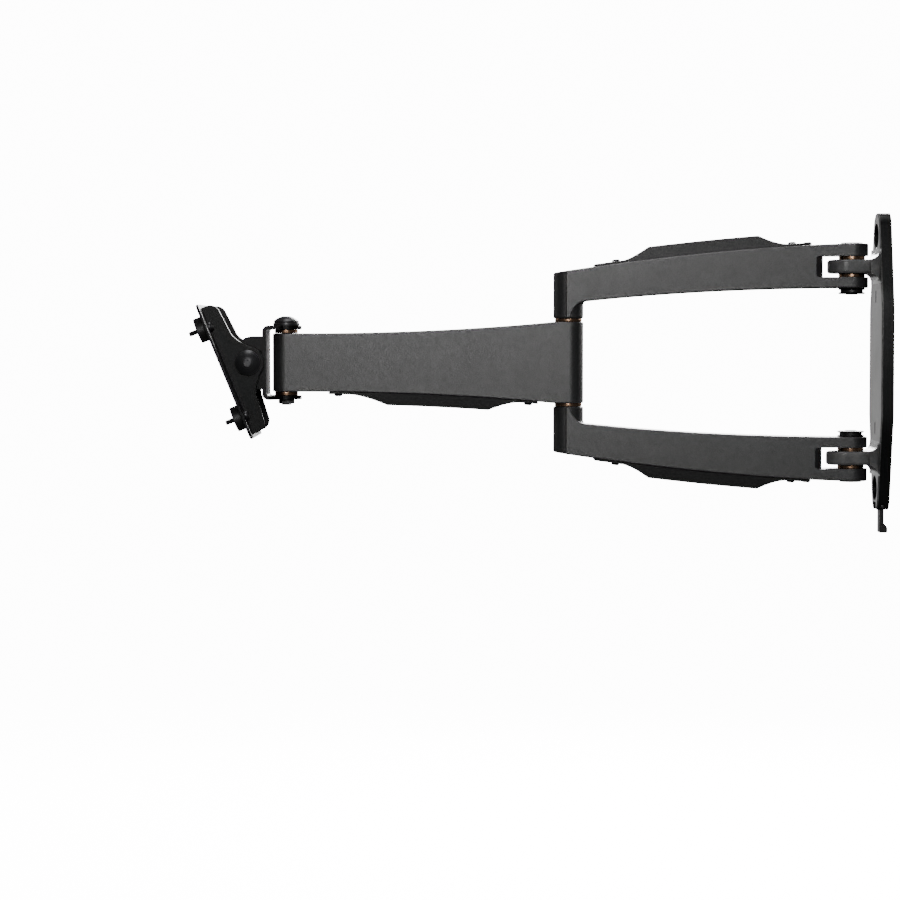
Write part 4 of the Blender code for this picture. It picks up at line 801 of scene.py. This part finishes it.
def onEdge(y, edge, side=1):
    # a place on a sloping edge, with Z square to it and pointing out
    slope = math.atan2(edge(y + 0.002) - edge(y - 0.002), 0.004)
    place = Matrix.Translation((0, y, edge(y))) @ Matrix.Rotation(slope, 4, "X")
    return place if side > 0 else Matrix.Rotation(math.pi, 4, "Y") @ place


def coverScrews():
    fromWall, fromElbow = armSizes["screwInsets"]
    return (wallY - fromWall, elbowY + fromElbow)


for label, side in halves:
    frameArm(armSizes, label, side)
print("frame arms made")


# Snap covers over the cable channels

coverSizes = {
    "arm": {"start": wallY - 0.0405, "end": elbowY + 0.0206, "footStart": 0.0131, "topStart": 0.0357,
            "footEnd": 0.0224, "topEnd": 0.0432, "width": 0.021, "rise": 0.0102, "channel": (0.0215, 0.0285)},
    "forearm": {"start": elbowY - 0.0245, "end": swivelY + 0.0340, "footStart": 0.0150, "topStart": 0.0397,
                "footEnd": 0.0172, "topEnd": 0.0468, "width": 0.0192, "rise": 0.0098,
                "channel": (0.0205, 0.0195)},
    "flange": 0.0016, "wall": 0.002, "draft": 0.12, "edge": 0.0007, "corner": 0.0022,
    "notchWidth": 0.008, "notchInset": 0.004, "notchLength": 0.0165, "screwHole": 0.0034,
}
screwSizes = {"head": 0.0064, "shank": 0.0028, "length": 0.008, "seat": 0.00196, "rise": 0.0017,
              "recess": 0.0034, "recessDepth": 0.0010}
clipSizes = {"inset": 0.0006, "length": 0.0066, "height": 0.0025, "width": 0.016, "edge": 0.0003}


def coverHeight(c, s, y):
    # how far the cover stands off the arm's edge
    base, rise = gap + s["flange"], c["rise"]
    fromStart, fromEnd = c["start"] - y, y - c["end"]
    up = (fromStart - c["footStart"]) / (c["topStart"] - c["footStart"])
    down = (fromEnd - c["footEnd"]) / (c["topEnd"] - c["footEnd"])
    share = min(max(min(up, down), 0), 1)
    return base + (rise - base) * share**1.5


def snapCover(s, c, name, edge, screws):
    long = c["start"] - c["end"]
    middle = (0, (c["start"] + c["end"]) / 2)
    start, moves = roundedMoves(middle, c["width"], long, s["corner"], 8)
    stations = spread(c["end"] + 0.003, c["end"] + c["footEnd"], 3)[:-1]
    stations += spread(c["end"] + c["footEnd"], c["end"] + c["topEnd"], 9)
    stations += spread(c["end"] + c["topEnd"], c["start"] - c["topStart"], 6)[1:-1]
    stations += spread(c["start"] - c["topStart"], c["start"] - c["footStart"], 9)
    stations += [c["start"] - 0.006, c["start"] - 0.003]
    shape = bodyBetween(traced("Z", start, moves), stations, lambda y: edge(y) + coverHeight(c, s, y),
                        lambda y: edge(y) + gap)
    for v in shape.verts:
        v.co.x *= 1 - s["draft"] * max(v.co.z - edge(v.co.y) - gap - s["flange"], 0) / (c["width"] / 2)
    middleLow = lambda e: abs(e.verts[0].co.x - e.verts[1].co.x) < c["width"] * 0.8 and all(
        v.co.z > edge(v.co.y) + gap + 0.0005 for v in e.verts)
    soften(shape, s["edge"], 3, middleLow, 50)
    piece = toObject(name, shape)
    inner = c["width"] / 2 - s["wall"] - 0.0009
    near, far = c["start"] - c["channel"][0], c["end"] + c["channel"][1]
    roof = [("to", (y, edge(y) + max(coverHeight(c, s, y) - s["wall"] - 0.0002, -0.001)))
            for y in spread(near, far, 24)]
    roof += [("to", (far, edge(far) - 0.003))]
    combine(piece, slab("hollow", "X", (near, edge(near) - 0.003), roof, -inner, inner))
    for foot, inward in ((c["start"] - c["footStart"], -1), (c["end"] + c["footEnd"], 1)):
        a, b = foot + inward * s["notchInset"], foot + inward * s["notchLength"]
        cutter = block("notch", "Z", (0, (a + b) / 2), s["notchWidth"], abs(a - b), 0.0012,
                       min(edge(a), edge(b)) - 0.004, edge(a) + 0.03)
        combine(piece, cutter)
    for y in screws:
        drill(piece, s["screwHole"], -0.004, 0.004, onEdge(y, edge), 20)
    return piece


def panScrew(name, place, body, node):
    # pan head with a cross recess; Z points out of the cover
    s = screwSizes
    head, shank, seatZ, rise = s["head"] / 2, s["shank"] / 2, s["seat"], s["rise"]
    profile = [(0, seatZ - s["length"]), (shank, seatZ - s["length"]), (shank, seatZ), (head, seatZ),
               (head, seatZ + rise * 0.35), (head * 0.94, seatZ + rise * 0.62),
               (head * 0.78, seatZ + rise * 0.86), (head * 0.5, seatZ + rise), (0, seatZ + rise)]
    piece = lathed(name, profile, 32, place=place)
    crossRecess(piece, place @ Matrix.Translation((0, 0, seatZ + rise)), s["recess"], s["recessDepth"])
    return metalPiece(piece, body, node, "darkSteel", "Wall")


def coverClip(s, label, side):
    # low block that the cover's wall end hooks under
    start, high, half = coverSizes["arm"]["start"] + s["inset"], s["height"], s["width"] / 2
    end = start + s["length"]
    moves = [("to", (end, armTop(end) + gap)), ("to", (end, armTop(end) + high * 0.5)),
             ("to", (end - high * 0.5, armTop(end) + high)), ("to", (start + high * 0.3, armTop(start) + high)),
             ("to", (start, armTop(start) + high * 0.7))]
    piece = slab(f"{label}CoverClip", "X", (start, armTop(start) + gap), moves, -half, half, s["edge"])
    if side < 0:
        mirrorZ(piece)
    return finishPiece(piece, "arms", [f"{label}_cover_clip"], blackPlastic)


for label, side in halves:
    cover = snapCover(coverSizes, coverSizes["arm"], f"{label}ArmCover", armTop, coverScrews())
    if side < 0:
        mirrorZ(cover)
    finishPiece(cover, "arms", [f"{label}_arm_cover"], blackPlastic)
    coverClip(clipSizes, label, side)
    for place, y in zip(("wall", "elbow"), coverScrews()):
        panScrew(f"{label}Screw.{place}", onEdge(y, armTop, side), "arms", f"{label}_screw_{place}")
print("arm covers made")


# Elbow shaft, washers, bushes and plugs

elbowSizes = {"shaft": 0.010, "head": 0.015, "bore": 0.0106, "washer": 0.0215, "bush": 0.0140, "nib": 0.0056,
              "nibRise": 0.0014}


def elbowFittings(s):
    foot, top = heights("elbow_shaft")
    shank, head, shoulder, chamfer = s["shaft"] / 2, s["head"] / 2, armSizes["shaftSeat"], 0.0005
    shaft = [(0, foot), (shank - chamfer, foot), (shank, foot + chamfer), (shank, shoulder), (head, shoulder),
             (head, top - chamfer), (head - chamfer, top), (0, top)]
    piece = lathed("elbowShaft", shaft, 40, place=pivotPlaces["Elbow"])
    metalPiece(piece, "arms", "elbow_shaft", "darkSteel", "Elbow")
    ring("elbowNut", "elbow_nut", "arms", "darkSteel", "Elbow", s["head"], s["bore"], 0, 40, 0.0004, 2)
    for label, side in halves:
        foot, top = heights(f"elbow_plug_{label}", side)
        nib, crown = s["nib"] / 2, top + s["nibRise"]
        plug = [(0, foot), (head, foot), (head, top - 0.0006), (head - 0.0006, top)]
        if side > 0:
            plug += [(0.0042, top), (0.0038, top - 0.0005), (0, top - 0.0005)]
        else:
            plug += [(nib + 0.0006, top), (nib, top + 0.0006), (nib, crown - 0.0004), (nib - 0.0004, crown),
                     (0, crown)]
        piece = lathed(f"elbowPlug.{label}", plug, 48, place=upright(elbowY, side=side))
        finishPiece(piece, "arms", [f"elbow_plug_{label}"], blackPlastic)
        ring(f"elbowWasher.{label}", f"elbow_washer_{label}", "arms", "bronze", "Elbow", s["washer"], s["bore"],
             seal, 56, 0.0004, 3)
        ring(f"elbowBush.{label}", f"elbow_bush_{label}", "forearm", "bronze", "Elbow", s["bush"], s["bore"],
             0, 40, 0.0002, 2)


elbowFittings(elbowSizes)
print("elbow made")


# Forearm

forearmSizes = {"length": elbowY - swivelY, "elbowHeight": 0.0648, "swivelHeight": 0.0466, "elbowRadius": 0.012,
                "swivelRadius": 0.0108, "curve": 2.1, "edge": 0.0010, "channelWidth": 0.013, "roof": 0.005,
                "thread": 0.0034, "threadDepth": 0.0086,
                "joints": ((elbowY, 0.0112, 0.0146, 0.0143), (swivelY, 0.0092, 0.0120, 0.0103))}


def forearmEdge(y, s=forearmSizes):
    share = (elbowY - y - s["elbowRadius"]) / (s["length"] - 2 * s["elbowRadius"])
    return eased(s["elbowHeight"] / 2, s["swivelHeight"] / 2, share, s["curve"])


def forearmScrews():
    c = coverSizes["forearm"]
    return (c["start"] - 0.0075, c["end"] + 0.0075)


def forearm(s):
    big, small = s["elbowRadius"], s["swivelRadius"]
    moves = [("turn", (0, elbowY), 180, 40), ("to", (-small, swivelY)), ("turn", (0, swivelY), 180, 40),
             ("to", (big, elbowY))]
    stations = spread(swivelY, elbowY - big, 30)
    shape = bodyBetween(traced("Z", (big, elbowY), moves), stations, forearmEdge, lambda y: -forearmEdge(y))
    soften(shape, s["edge"], 3, lambda e: abs(e.verts[0].co.z - e.verts[1].co.z) < 0.004, 50)
    piece = toObject("forearm", shape)
    for y, bore, housing, depth in s["joints"]:
        drill(piece, bore, -0.05, 0.05, upright(y))
        for side in (1, -1):
            drill(piece, housing, forearmEdge(y) - depth, 0.05, upright(y, side=side))
    c = coverSizes["forearm"]
    near, far = c["start"] - c["channel"][0], c["end"] + c["channel"][1]
    channel = block("channel", "X", ((near + far) / 2, s["roof"] - 0.03), near - far, 0.06, 0.0015,
                    -s["channelWidth"] / 2, s["channelWidth"] / 2)
    combine(piece, channel)
    for y in forearmScrews():
        drill(piece, s["thread"], -s["threadDepth"], 0.01, onEdge(y, forearmEdge, -1), 20)
    return finishPiece(piece, "forearm", ["forearm"], powderCoat)


forearm(forearmSizes)
cover = mirrorZ(snapCover(coverSizes, coverSizes["forearm"], "forearmCover", forearmEdge, forearmScrews()))
finishPiece(cover, "forearm", ["forearm_cover"], blackPlastic)
for place, y in zip(("elbow", "swivel"), forearmScrews()):
    panScrew(f"forearmScrew.{place}", onEdge(y, forearmEdge, -1), "forearm", f"forearm_screw_{place}")
print("forearm made")


# Swivel joint and its pressed bracket

headSizes = {
    "sheet": 0.003, "bend": 0.0048, "webOffset": 0.0146, "width": 0.056, "flangeEnd": 0.0122, "inner": 0.0264,
    "bore": 0.0086, "washer": 0.0185, "bush": 0.0114, "flatWasher": 0.021, "dome": 0.020, "domeHeight": 0.0056,
    "nutAcross": 0.011, "yokeHalf": 0.021, "yokeFront": 0.0135, "yokeSetback": 0.004, "edge": 0.00045,
    "socket": 0.005, "socketDepth": 0.0026, "boltShank": 0.008, "reliefWidth": 0.0027, "reliefHeight": 0.0055,
}


def domeBolt(name, node, body, pivot, under, end):
    # button head with a hex socket
    s = headSizes
    rim, lip, rise = s["dome"] / 2, 0.0016, s["domeHeight"]
    radius = (rim**2 + (rise - lip) ** 2) / (2 * (rise - lip))
    sweep = math.asin(rim / radius)
    arc = [(radius * math.sin(sweep * t), under + rise - radius + radius * math.cos(sweep * t))
           for t in spread(1, 0, 14)]
    shank, place = s["boltShank"] / 2, pivotPlaces[pivot]
    profile = [(0, end), (shank - 0.0006, end), (shank, end + 0.0006), (shank, under), (rim - 0.0003, under),
               (rim, under + 0.0003), (rim, under + lip - 0.0002)] + arc
    piece = lathed(name, profile, 64, place=place)
    top = under + rise
    combine(piece, polygonBar("socket", s["socket"], 6, top - s["socketDepth"], top + 0.001, place=place))
    return metalPiece(piece, body, node, "darkSteel", pivot)


def hexNut(name, node, body, pivot, across, low, high):
    # chamfered corners: the hexagon is kept within a cone
    place = pivotPlaces[pivot]
    piece = polygonBar(name, across, 6, low, high, place=place)
    reach, cut = across / 2 / math.cos(math.pi / 6), (high - low) * 0.22
    cone = [(0, low), (reach - cut, low), (reach + 0.0001, low + cut * 0.6), (reach + 0.0001, high - cut * 0.6),
            (reach - cut, high), (0, high)]
    combine(piece, lathed("cone", cone, 48, place=place), "INTERSECT")
    drill(piece, headSizes["bore"], low - 0.01, high + 0.01, place, 32)
    return metalPiece(piece, body, node, "nutBlack", pivot)


def swivelJoint(s):
    for label in ("upper", "lower"):
        ring(f"swivelBush.{label}", f"swivel_bush_{label}", "forearm", "bronze", "Swivel", s["bush"], s["bore"],
             0, 48, 0.0002, 3)
        ring(f"swivelWasher.{label}", f"swivel_washer_{label}", "forearm", "bronze", "Swivel", s["washer"],
             s["bore"], seal, 48, 0.0005, 3)
    ring("swivelFlatWasher", "swivel_flat_washer", "head", "darkSteel", "Swivel", s["flatWasher"], s["bore"],
         seal, 56, 0.0003, 2)
    foot, top = heights("swivel_bolt")
    domeBolt("swivelBolt", "swivel_bolt", "head", "Swivel", top - s["domeHeight"], foot)
    foot, top = heights("swivel_nut")
    hexNut("swivelNut", "swivel_nut", "head", "Swivel", s["nutAcross"], foot, top + seal)


def swivelBracket(s):
    # C-shaped strip of sheet, cut to plan, with two tilt ears fused to its web
    outer, inner, sheet = s["inner"] + s["sheet"], s["inner"], s["sheet"]
    bend, tight = s["bend"], s["bend"] - sheet
    web = -s["webOffset"] - sheet
    centre = swivelY + web + bend
    end = swivelY + s["flangeEnd"] + 0.001
    moves = [("to", (centre, outer)), ("turn", (centre, outer - bend), 90, 10),
             ("to", (centre - bend, -outer + bend)), ("turn", (centre, -outer + bend), 90, 10),
             ("to", (end, -outer)), ("to", (end, -inner)), ("to", (centre, -inner)),
             ("turn", (centre, -inner + tight), -90, 8), ("to", (centre - tight, inner - tight)),
             ("turn", (centre, inner - tight), -90, 8), ("to", (end, inner))]
    half = s["width"] / 2
    piece = slab("swivelBracket", "X", (end, outer), moves, -half, half)
    nose, shoulder, back = s["flangeEnd"], swivelY - s["webOffset"] + 0.0021, swivelY + web - 0.01
    slope = math.radians(-10)
    startX, startY = nose * math.cos(slope), swivelY + nose * math.sin(slope)
    moves = [("turn", (0, swivelY), 200, 40), ("to", (-half, shoulder)), ("to", (-half, back)),
             ("to", (half, back)), ("to", (half, shoulder))]
    combine(piece, slab("plan", "Z", (startX, startY), moves, -0.05, 0.05), "INTERSECT")
    centreY, reach = tiltY + s["yokeSetback"], s["yokeFront"] + s["yokeSetback"]
    angles = [math.radians(90 + 180 * n / 28) for n in range(29)]
    front = [("to", (centreY + reach * math.cos(a), s["yokeHalf"] * math.sin(a))) for a in angles]
    root = swivelY + web + sheet / 2
    for low in (half - sheet, -half):
        moves = [("to", (root, s["yokeHalf"]))] + front
        ear = slab("yoke", "X", (root, -s["yokeHalf"]), moves, low, low + sheet,
                   s["edge"], 2, lambda e: min(v.co.y for v in e.verts) < root - 0.003
                   and squareTo(e, "x"))
        combine(piece, ear, "UNION")
    for pivot in ("Swivel", "Tilt"):
        drill(piece, s["bore"], -0.05, 0.05, pivotPlaces[pivot])
    combine(piece, block("relief", "X", (swivelY + web - 0.00165, 0.007), s["reliefWidth"], s["reliefHeight"],
                         0.0007, -0.05, 0.05))
    return finishPiece(piece, "head", ["swivel_bracket"], blackSheet)


swivelJoint(headSizes)
swivelBracket(headSizes)
print("swivel bracket made")


# Tilt joint

tiltSizes = {"tube": 0.013, "bore": 0.0086, "washer": 0.022, "nutAcross": 0.013}


def tiltJoint(s):
    ring("tiltTube", "tilt_tube", "head", "darkSteel", "Tilt", s["tube"], s["bore"], 0, 48, 0.0004, 2)
    for hand in ("right", "left"):
        ring(f"tiltWasher.{hand}", f"tilt_washer_{hand}", "head", "bronze", "Tilt", s["washer"], s["bore"],
             seal, 56, 0.0003, 2)
    low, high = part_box("tilt_bolt")
    domeBolt("tiltBolt", "tilt_bolt", "display", "Tilt", high.x - headSizes["domeHeight"], low.x)
    low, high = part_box("tilt_nut")
    hexNut("tiltNut", "tilt_nut", "display", "Tilt", s["nutAcross"], low.x, high.x)


tiltJoint(tiltSizes)
print("tilt joint made")


# Display plate with its two ears, spacers and screws

displaySizes = {
    "offset": 0.017, "thickness": 0.0022, "height": 0.113, "width": 0.115, "corner": 0.008,
    "near": 0.075, "far": 0.100,
    "hole": 0.0052, "windowWidth": 0.036, "windowHeight": 0.048, "windowCorner": 0.008, "edge": 0.0004,
    "earX": 0.0300, "sheet": 0.003, "boss": 0.0128, "earHalf": 0.0536, "tipRadius": 0.008, "tipDepth": 0.012,
    "waistDepth": 0.0134, "waist": 0.025, "spacer": 0.020, "spacerLength": 0.007,
    "screw": 0.004, "pitch": 0.0007, "threadDepth": 0.00028,
    "head": 0.0078,
    "headHeight": 0.003, "recess": 0.0046, "recessDepth": 0.0015, "proud": 0.007,
}


def earSolid(s, low):
    # wing with a boss round the bolt, a waist each side of it and round tips
    front, tipBack = s["offset"] + s["thickness"] / 2, s["offset"] - s["tipDepth"]
    waistBack = s["offset"] - s["waistDepth"]
    tip = (-tipBack - s["tipRadius"], s["earHalf"] - s["tipRadius"])
    turn = math.radians(10)
    entry = (tip[0] + s["tipRadius"] * math.cos(turn), tip[1] + s["tipRadius"] * math.sin(turn))
    waist, nick = (-waistBack, s["waist"]), (-waistBack + 0.0024, s["waist"] - 0.0042)
    bossAt = (s["boss"] * math.cos(math.radians(62)), s["boss"] * math.sin(math.radians(62)))
    soft = [(waist[0], waist[1] + 0.004), (waist[0] + 0.0001, waist[1] + 0.0015),
            (waist[0] + 0.0009, waist[1] - 0.0012), nick, (nick[0] + 0.0012, nick[1] - 0.0022)]
    flip = lambda points: [(y, -z) for y, z in reversed(points)]
    moves = [("turn", tip, -80, 14)] + [("to", p) for p in soft] + [("to", bossAt), ("turn", (0, 0), -124, 30)]
    moves += [("to", p) for p in flip(soft)]
    moves += [("to", (entry[0], -entry[1])), ("turn", (tip[0], -tip[1]), -80, 14),
              ("to", (-front, -s["earHalf"])), ("to", (-front, s["earHalf"]))]
    return slab("ear", "X", (tip[0], s["earHalf"]), moves, low, low + s["sheet"], s["edge"], 2,
                lambda e: max(v.co.y for v in e.verts) > -s["offset"] + 0.001 and squareTo(e, "x"))


def displayPlate(s):
    face = -s["offset"] - s["thickness"]
    start, moves = roundedMoves((0, 0), s["width"], s["height"], s["corner"], 12)
    piece = slab("displayPlate", "Y", start, moves, face, -s["offset"], s["edge"], 2,
                 lambda e: squareTo(e, "y"))
    for low in (s["earX"], -s["earX"] - s["sheet"]):
        combine(piece, earSolid(s, low), "UNION")
    combine(piece, block("window", "Y", (0, 0), s["windowWidth"], s["windowHeight"], s["windowCorner"],
                         -0.05, -0.008))
    drill(piece, headSizes["bore"], -0.05, 0.05, sideways())
    for spacing in (s["near"], s["far"]):
        for sx in (1, -1):
            for sz in (1, -1):
                place = outwards(sx * spacing / 2, 0, sz * spacing / 2)
                r, lip, a, b = s["hole"] / 2, 0.0003, s["offset"], s["offset"] + s["thickness"]
                hole = [(0, a - 0.004), (r + lip, a - 0.004), (r + lip, a), (r, a + lip), (r, b - lip),
                        (r + lip, b), (r + lip, b + 0.004), (0, b + 0.004)]
                combine(piece, lathed("hole", hole, 28, place=place))
    return finishPiece(piece, "display", ["display_plate"], blackSheet, atTilt)


def displayFasteners(s):
    near = s["offset"] + s["thickness"] + gap
    far, bore, under = near + s["spacerLength"], s["screw"] + 0.0006, s["offset"] - gap + seal
    shank, head = s["screw"] / 2, s["head"] / 2
    tip = far + s["proud"]
    crown = [(0, under - s["headHeight"]), (head * 0.45, under - s["headHeight"]),
             (head * 0.78, under - s["headHeight"] * 0.86), (head * 0.95, under - s["headHeight"] * 0.6),
             (head, under - s["headHeight"] * 0.3), (head, under), (shank, under)]
    thread, z = [], under + 0.004
    while z < tip - 0.0012:
        thread += [(shank, z), (shank - s["threadDepth"], z + s["pitch"] / 2)]
        z += s["pitch"]
    profile = crown + thread + [(shank, tip - 0.0007), (shank - 0.0007, tip), (0, tip)]
    for upDown, sz in (("top", 1), ("bottom", -1)):
        for hand, sx in (("right", 1), ("left", -1)):
            place = outwards(sx * s["near"] / 2, 0, sz * s["near"] / 2)
            name = f"{upDown}_{hand}"
            body = ringProfile(s["spacer"], bore, near - seal, far)
            spacer = lathed(f"spacer.{name}", body, 56, 0.0006, 3, place)
            finishPiece(spacer, "display", [f"spacer_{name}"], spacerBlack, atTilt)
            screw = lathed(f"displayScrew.{name}", profile, 32, place=place)
            socketPlace = place @ Matrix.Translation((0, 0, under - s["headHeight"]))
            socketPlace = socketPlace @ Matrix.Rotation(math.pi, 4, "X")
            crossRecess(screw, socketPlace, s["recess"], s["recessDepth"])
            metalPiece(screw, "display", f"display_screw_{name}", "darkSteel", "Tilt", atTilt)


displayPlate(displaySizes)
displayFasteners(displaySizes)
print("display plate made")


# Stage, light and camera

def glow(name, colour, strength):
    made = bpy.data.materials.new(name)
    made.use_nodes = True
    shader = made.node_tree.nodes["Principled BSDF"]
    shader.inputs["Base Color"].default_value = (*colour, 1)
    shader.inputs["Roughness"].default_value = 0.9
    shader.inputs["Emission Color"].default_value = (*colour, 1)
    shader.inputs["Emission Strength"].default_value = strength
    return made


def stagePiece(name, shape, paint):
    piece = toObject(name, shape)
    piece.data.materials.append(paint)
    piece.visible_diffuse = piece.visible_glossy = piece.visible_shadow = False
    piece.visible_transmission = False
    return piece


stageSizes = {"floorZ": -0.7, "floorRadius": 30.0, "backdropRadius": 32.0, "glow": 14.0, "worldStrength": 0.06}
floorShape = bmesh.new()
bmesh.ops.create_circle(floorShape, cap_ends=True, radius=stageSizes["floorRadius"], segments=96)
bmesh.ops.translate(floorShape, verts=floorShape.verts, vec=(0, 0, stageSizes["floorZ"]))
stagePiece("floor", floorShape, glow("paleFloor", (0.97, 0.97, 0.97), stageSizes["glow"]))
domeShape = bmesh.new()
bmesh.ops.create_uvsphere(domeShape, u_segments=48, v_segments=24, radius=stageSizes["backdropRadius"])
stagePiece("backdrop", domeShape, glow("paleBackdrop", (0.97, 0.97, 0.97), stageSizes["glow"]))

world = bpy.data.worlds.new("studio")
world.use_nodes = True
world.node_tree.nodes["Background"].inputs["Color"].default_value = (1, 1, 1, 1)
world.node_tree.nodes["Background"].inputs["Strength"].default_value = stageSizes["worldStrength"]
bpy.context.scene.world = world

lights = {  # place, aim, width, height, watts
    "front": ((2.4, -0.42, 0.58), (0, -0.34, 0.0), 0.75, 0.6, 26),
    "top": ((0.1, -0.3, 2.0), (0, -0.28, 0.0), 0.9, 1.5, 22),
    "behind": ((-2.4, -0.65, 0.25), (0, -0.05, 0.0), 1.0, 1.6, 6),
    "back": ((-2.2, 0.3, 0.9), (0, -0.28, 0.0), 1.2, 1.2, 130),
    "wallSide": ((-2.0, 2.2, 0.8), (0, -0.2, 0.0), 1.2, 1.2, 30),
    "screenSide": ((-1.4, -2.8, 1.1), (0, -0.4, 0.0), 1.2, 1.2, 9),
}
for name, (place, aim, width, height, watts) in lights.items():
    lamp = bpy.data.lights.new(name, "AREA")
    lamp.shape, lamp.size, lamp.size_y, lamp.energy = "RECTANGLE", width, height, watts
    holder = bpy.data.objects.new(name, lamp)
    bpy.context.scene.collection.objects.link(holder)
    holder.location = place
    holder.rotation_mode = "QUATERNION"
    holder.rotation_quaternion = (Vector(aim) - Vector(place)).to_track_quat("-Z", "Y")

cameraSizes = {"place": (2.019, -0.370, 0.020), "aim": (0, -0.3512, -0.0702), "lens": 100.8}
lensData = bpy.data.cameras.new("camera")
lensData.lens, lensData.sensor_width = cameraSizes["lens"], 36.0
lensData.clip_start, lensData.clip_end = 0.1, 100.0
camera = bpy.data.objects.new("camera", lensData)
bpy.context.scene.collection.objects.link(camera)
camera.location = cameraSizes["place"]
camera.rotation_mode = "QUATERNION"
towards = Vector(cameraSizes["aim"]) - Vector(cameraSizes["place"])
camera.rotation_quaternion = towards.to_track_quat("-Z", "Y")
bpy.context.scene.camera = camera
print("stage, lights and camera ready")
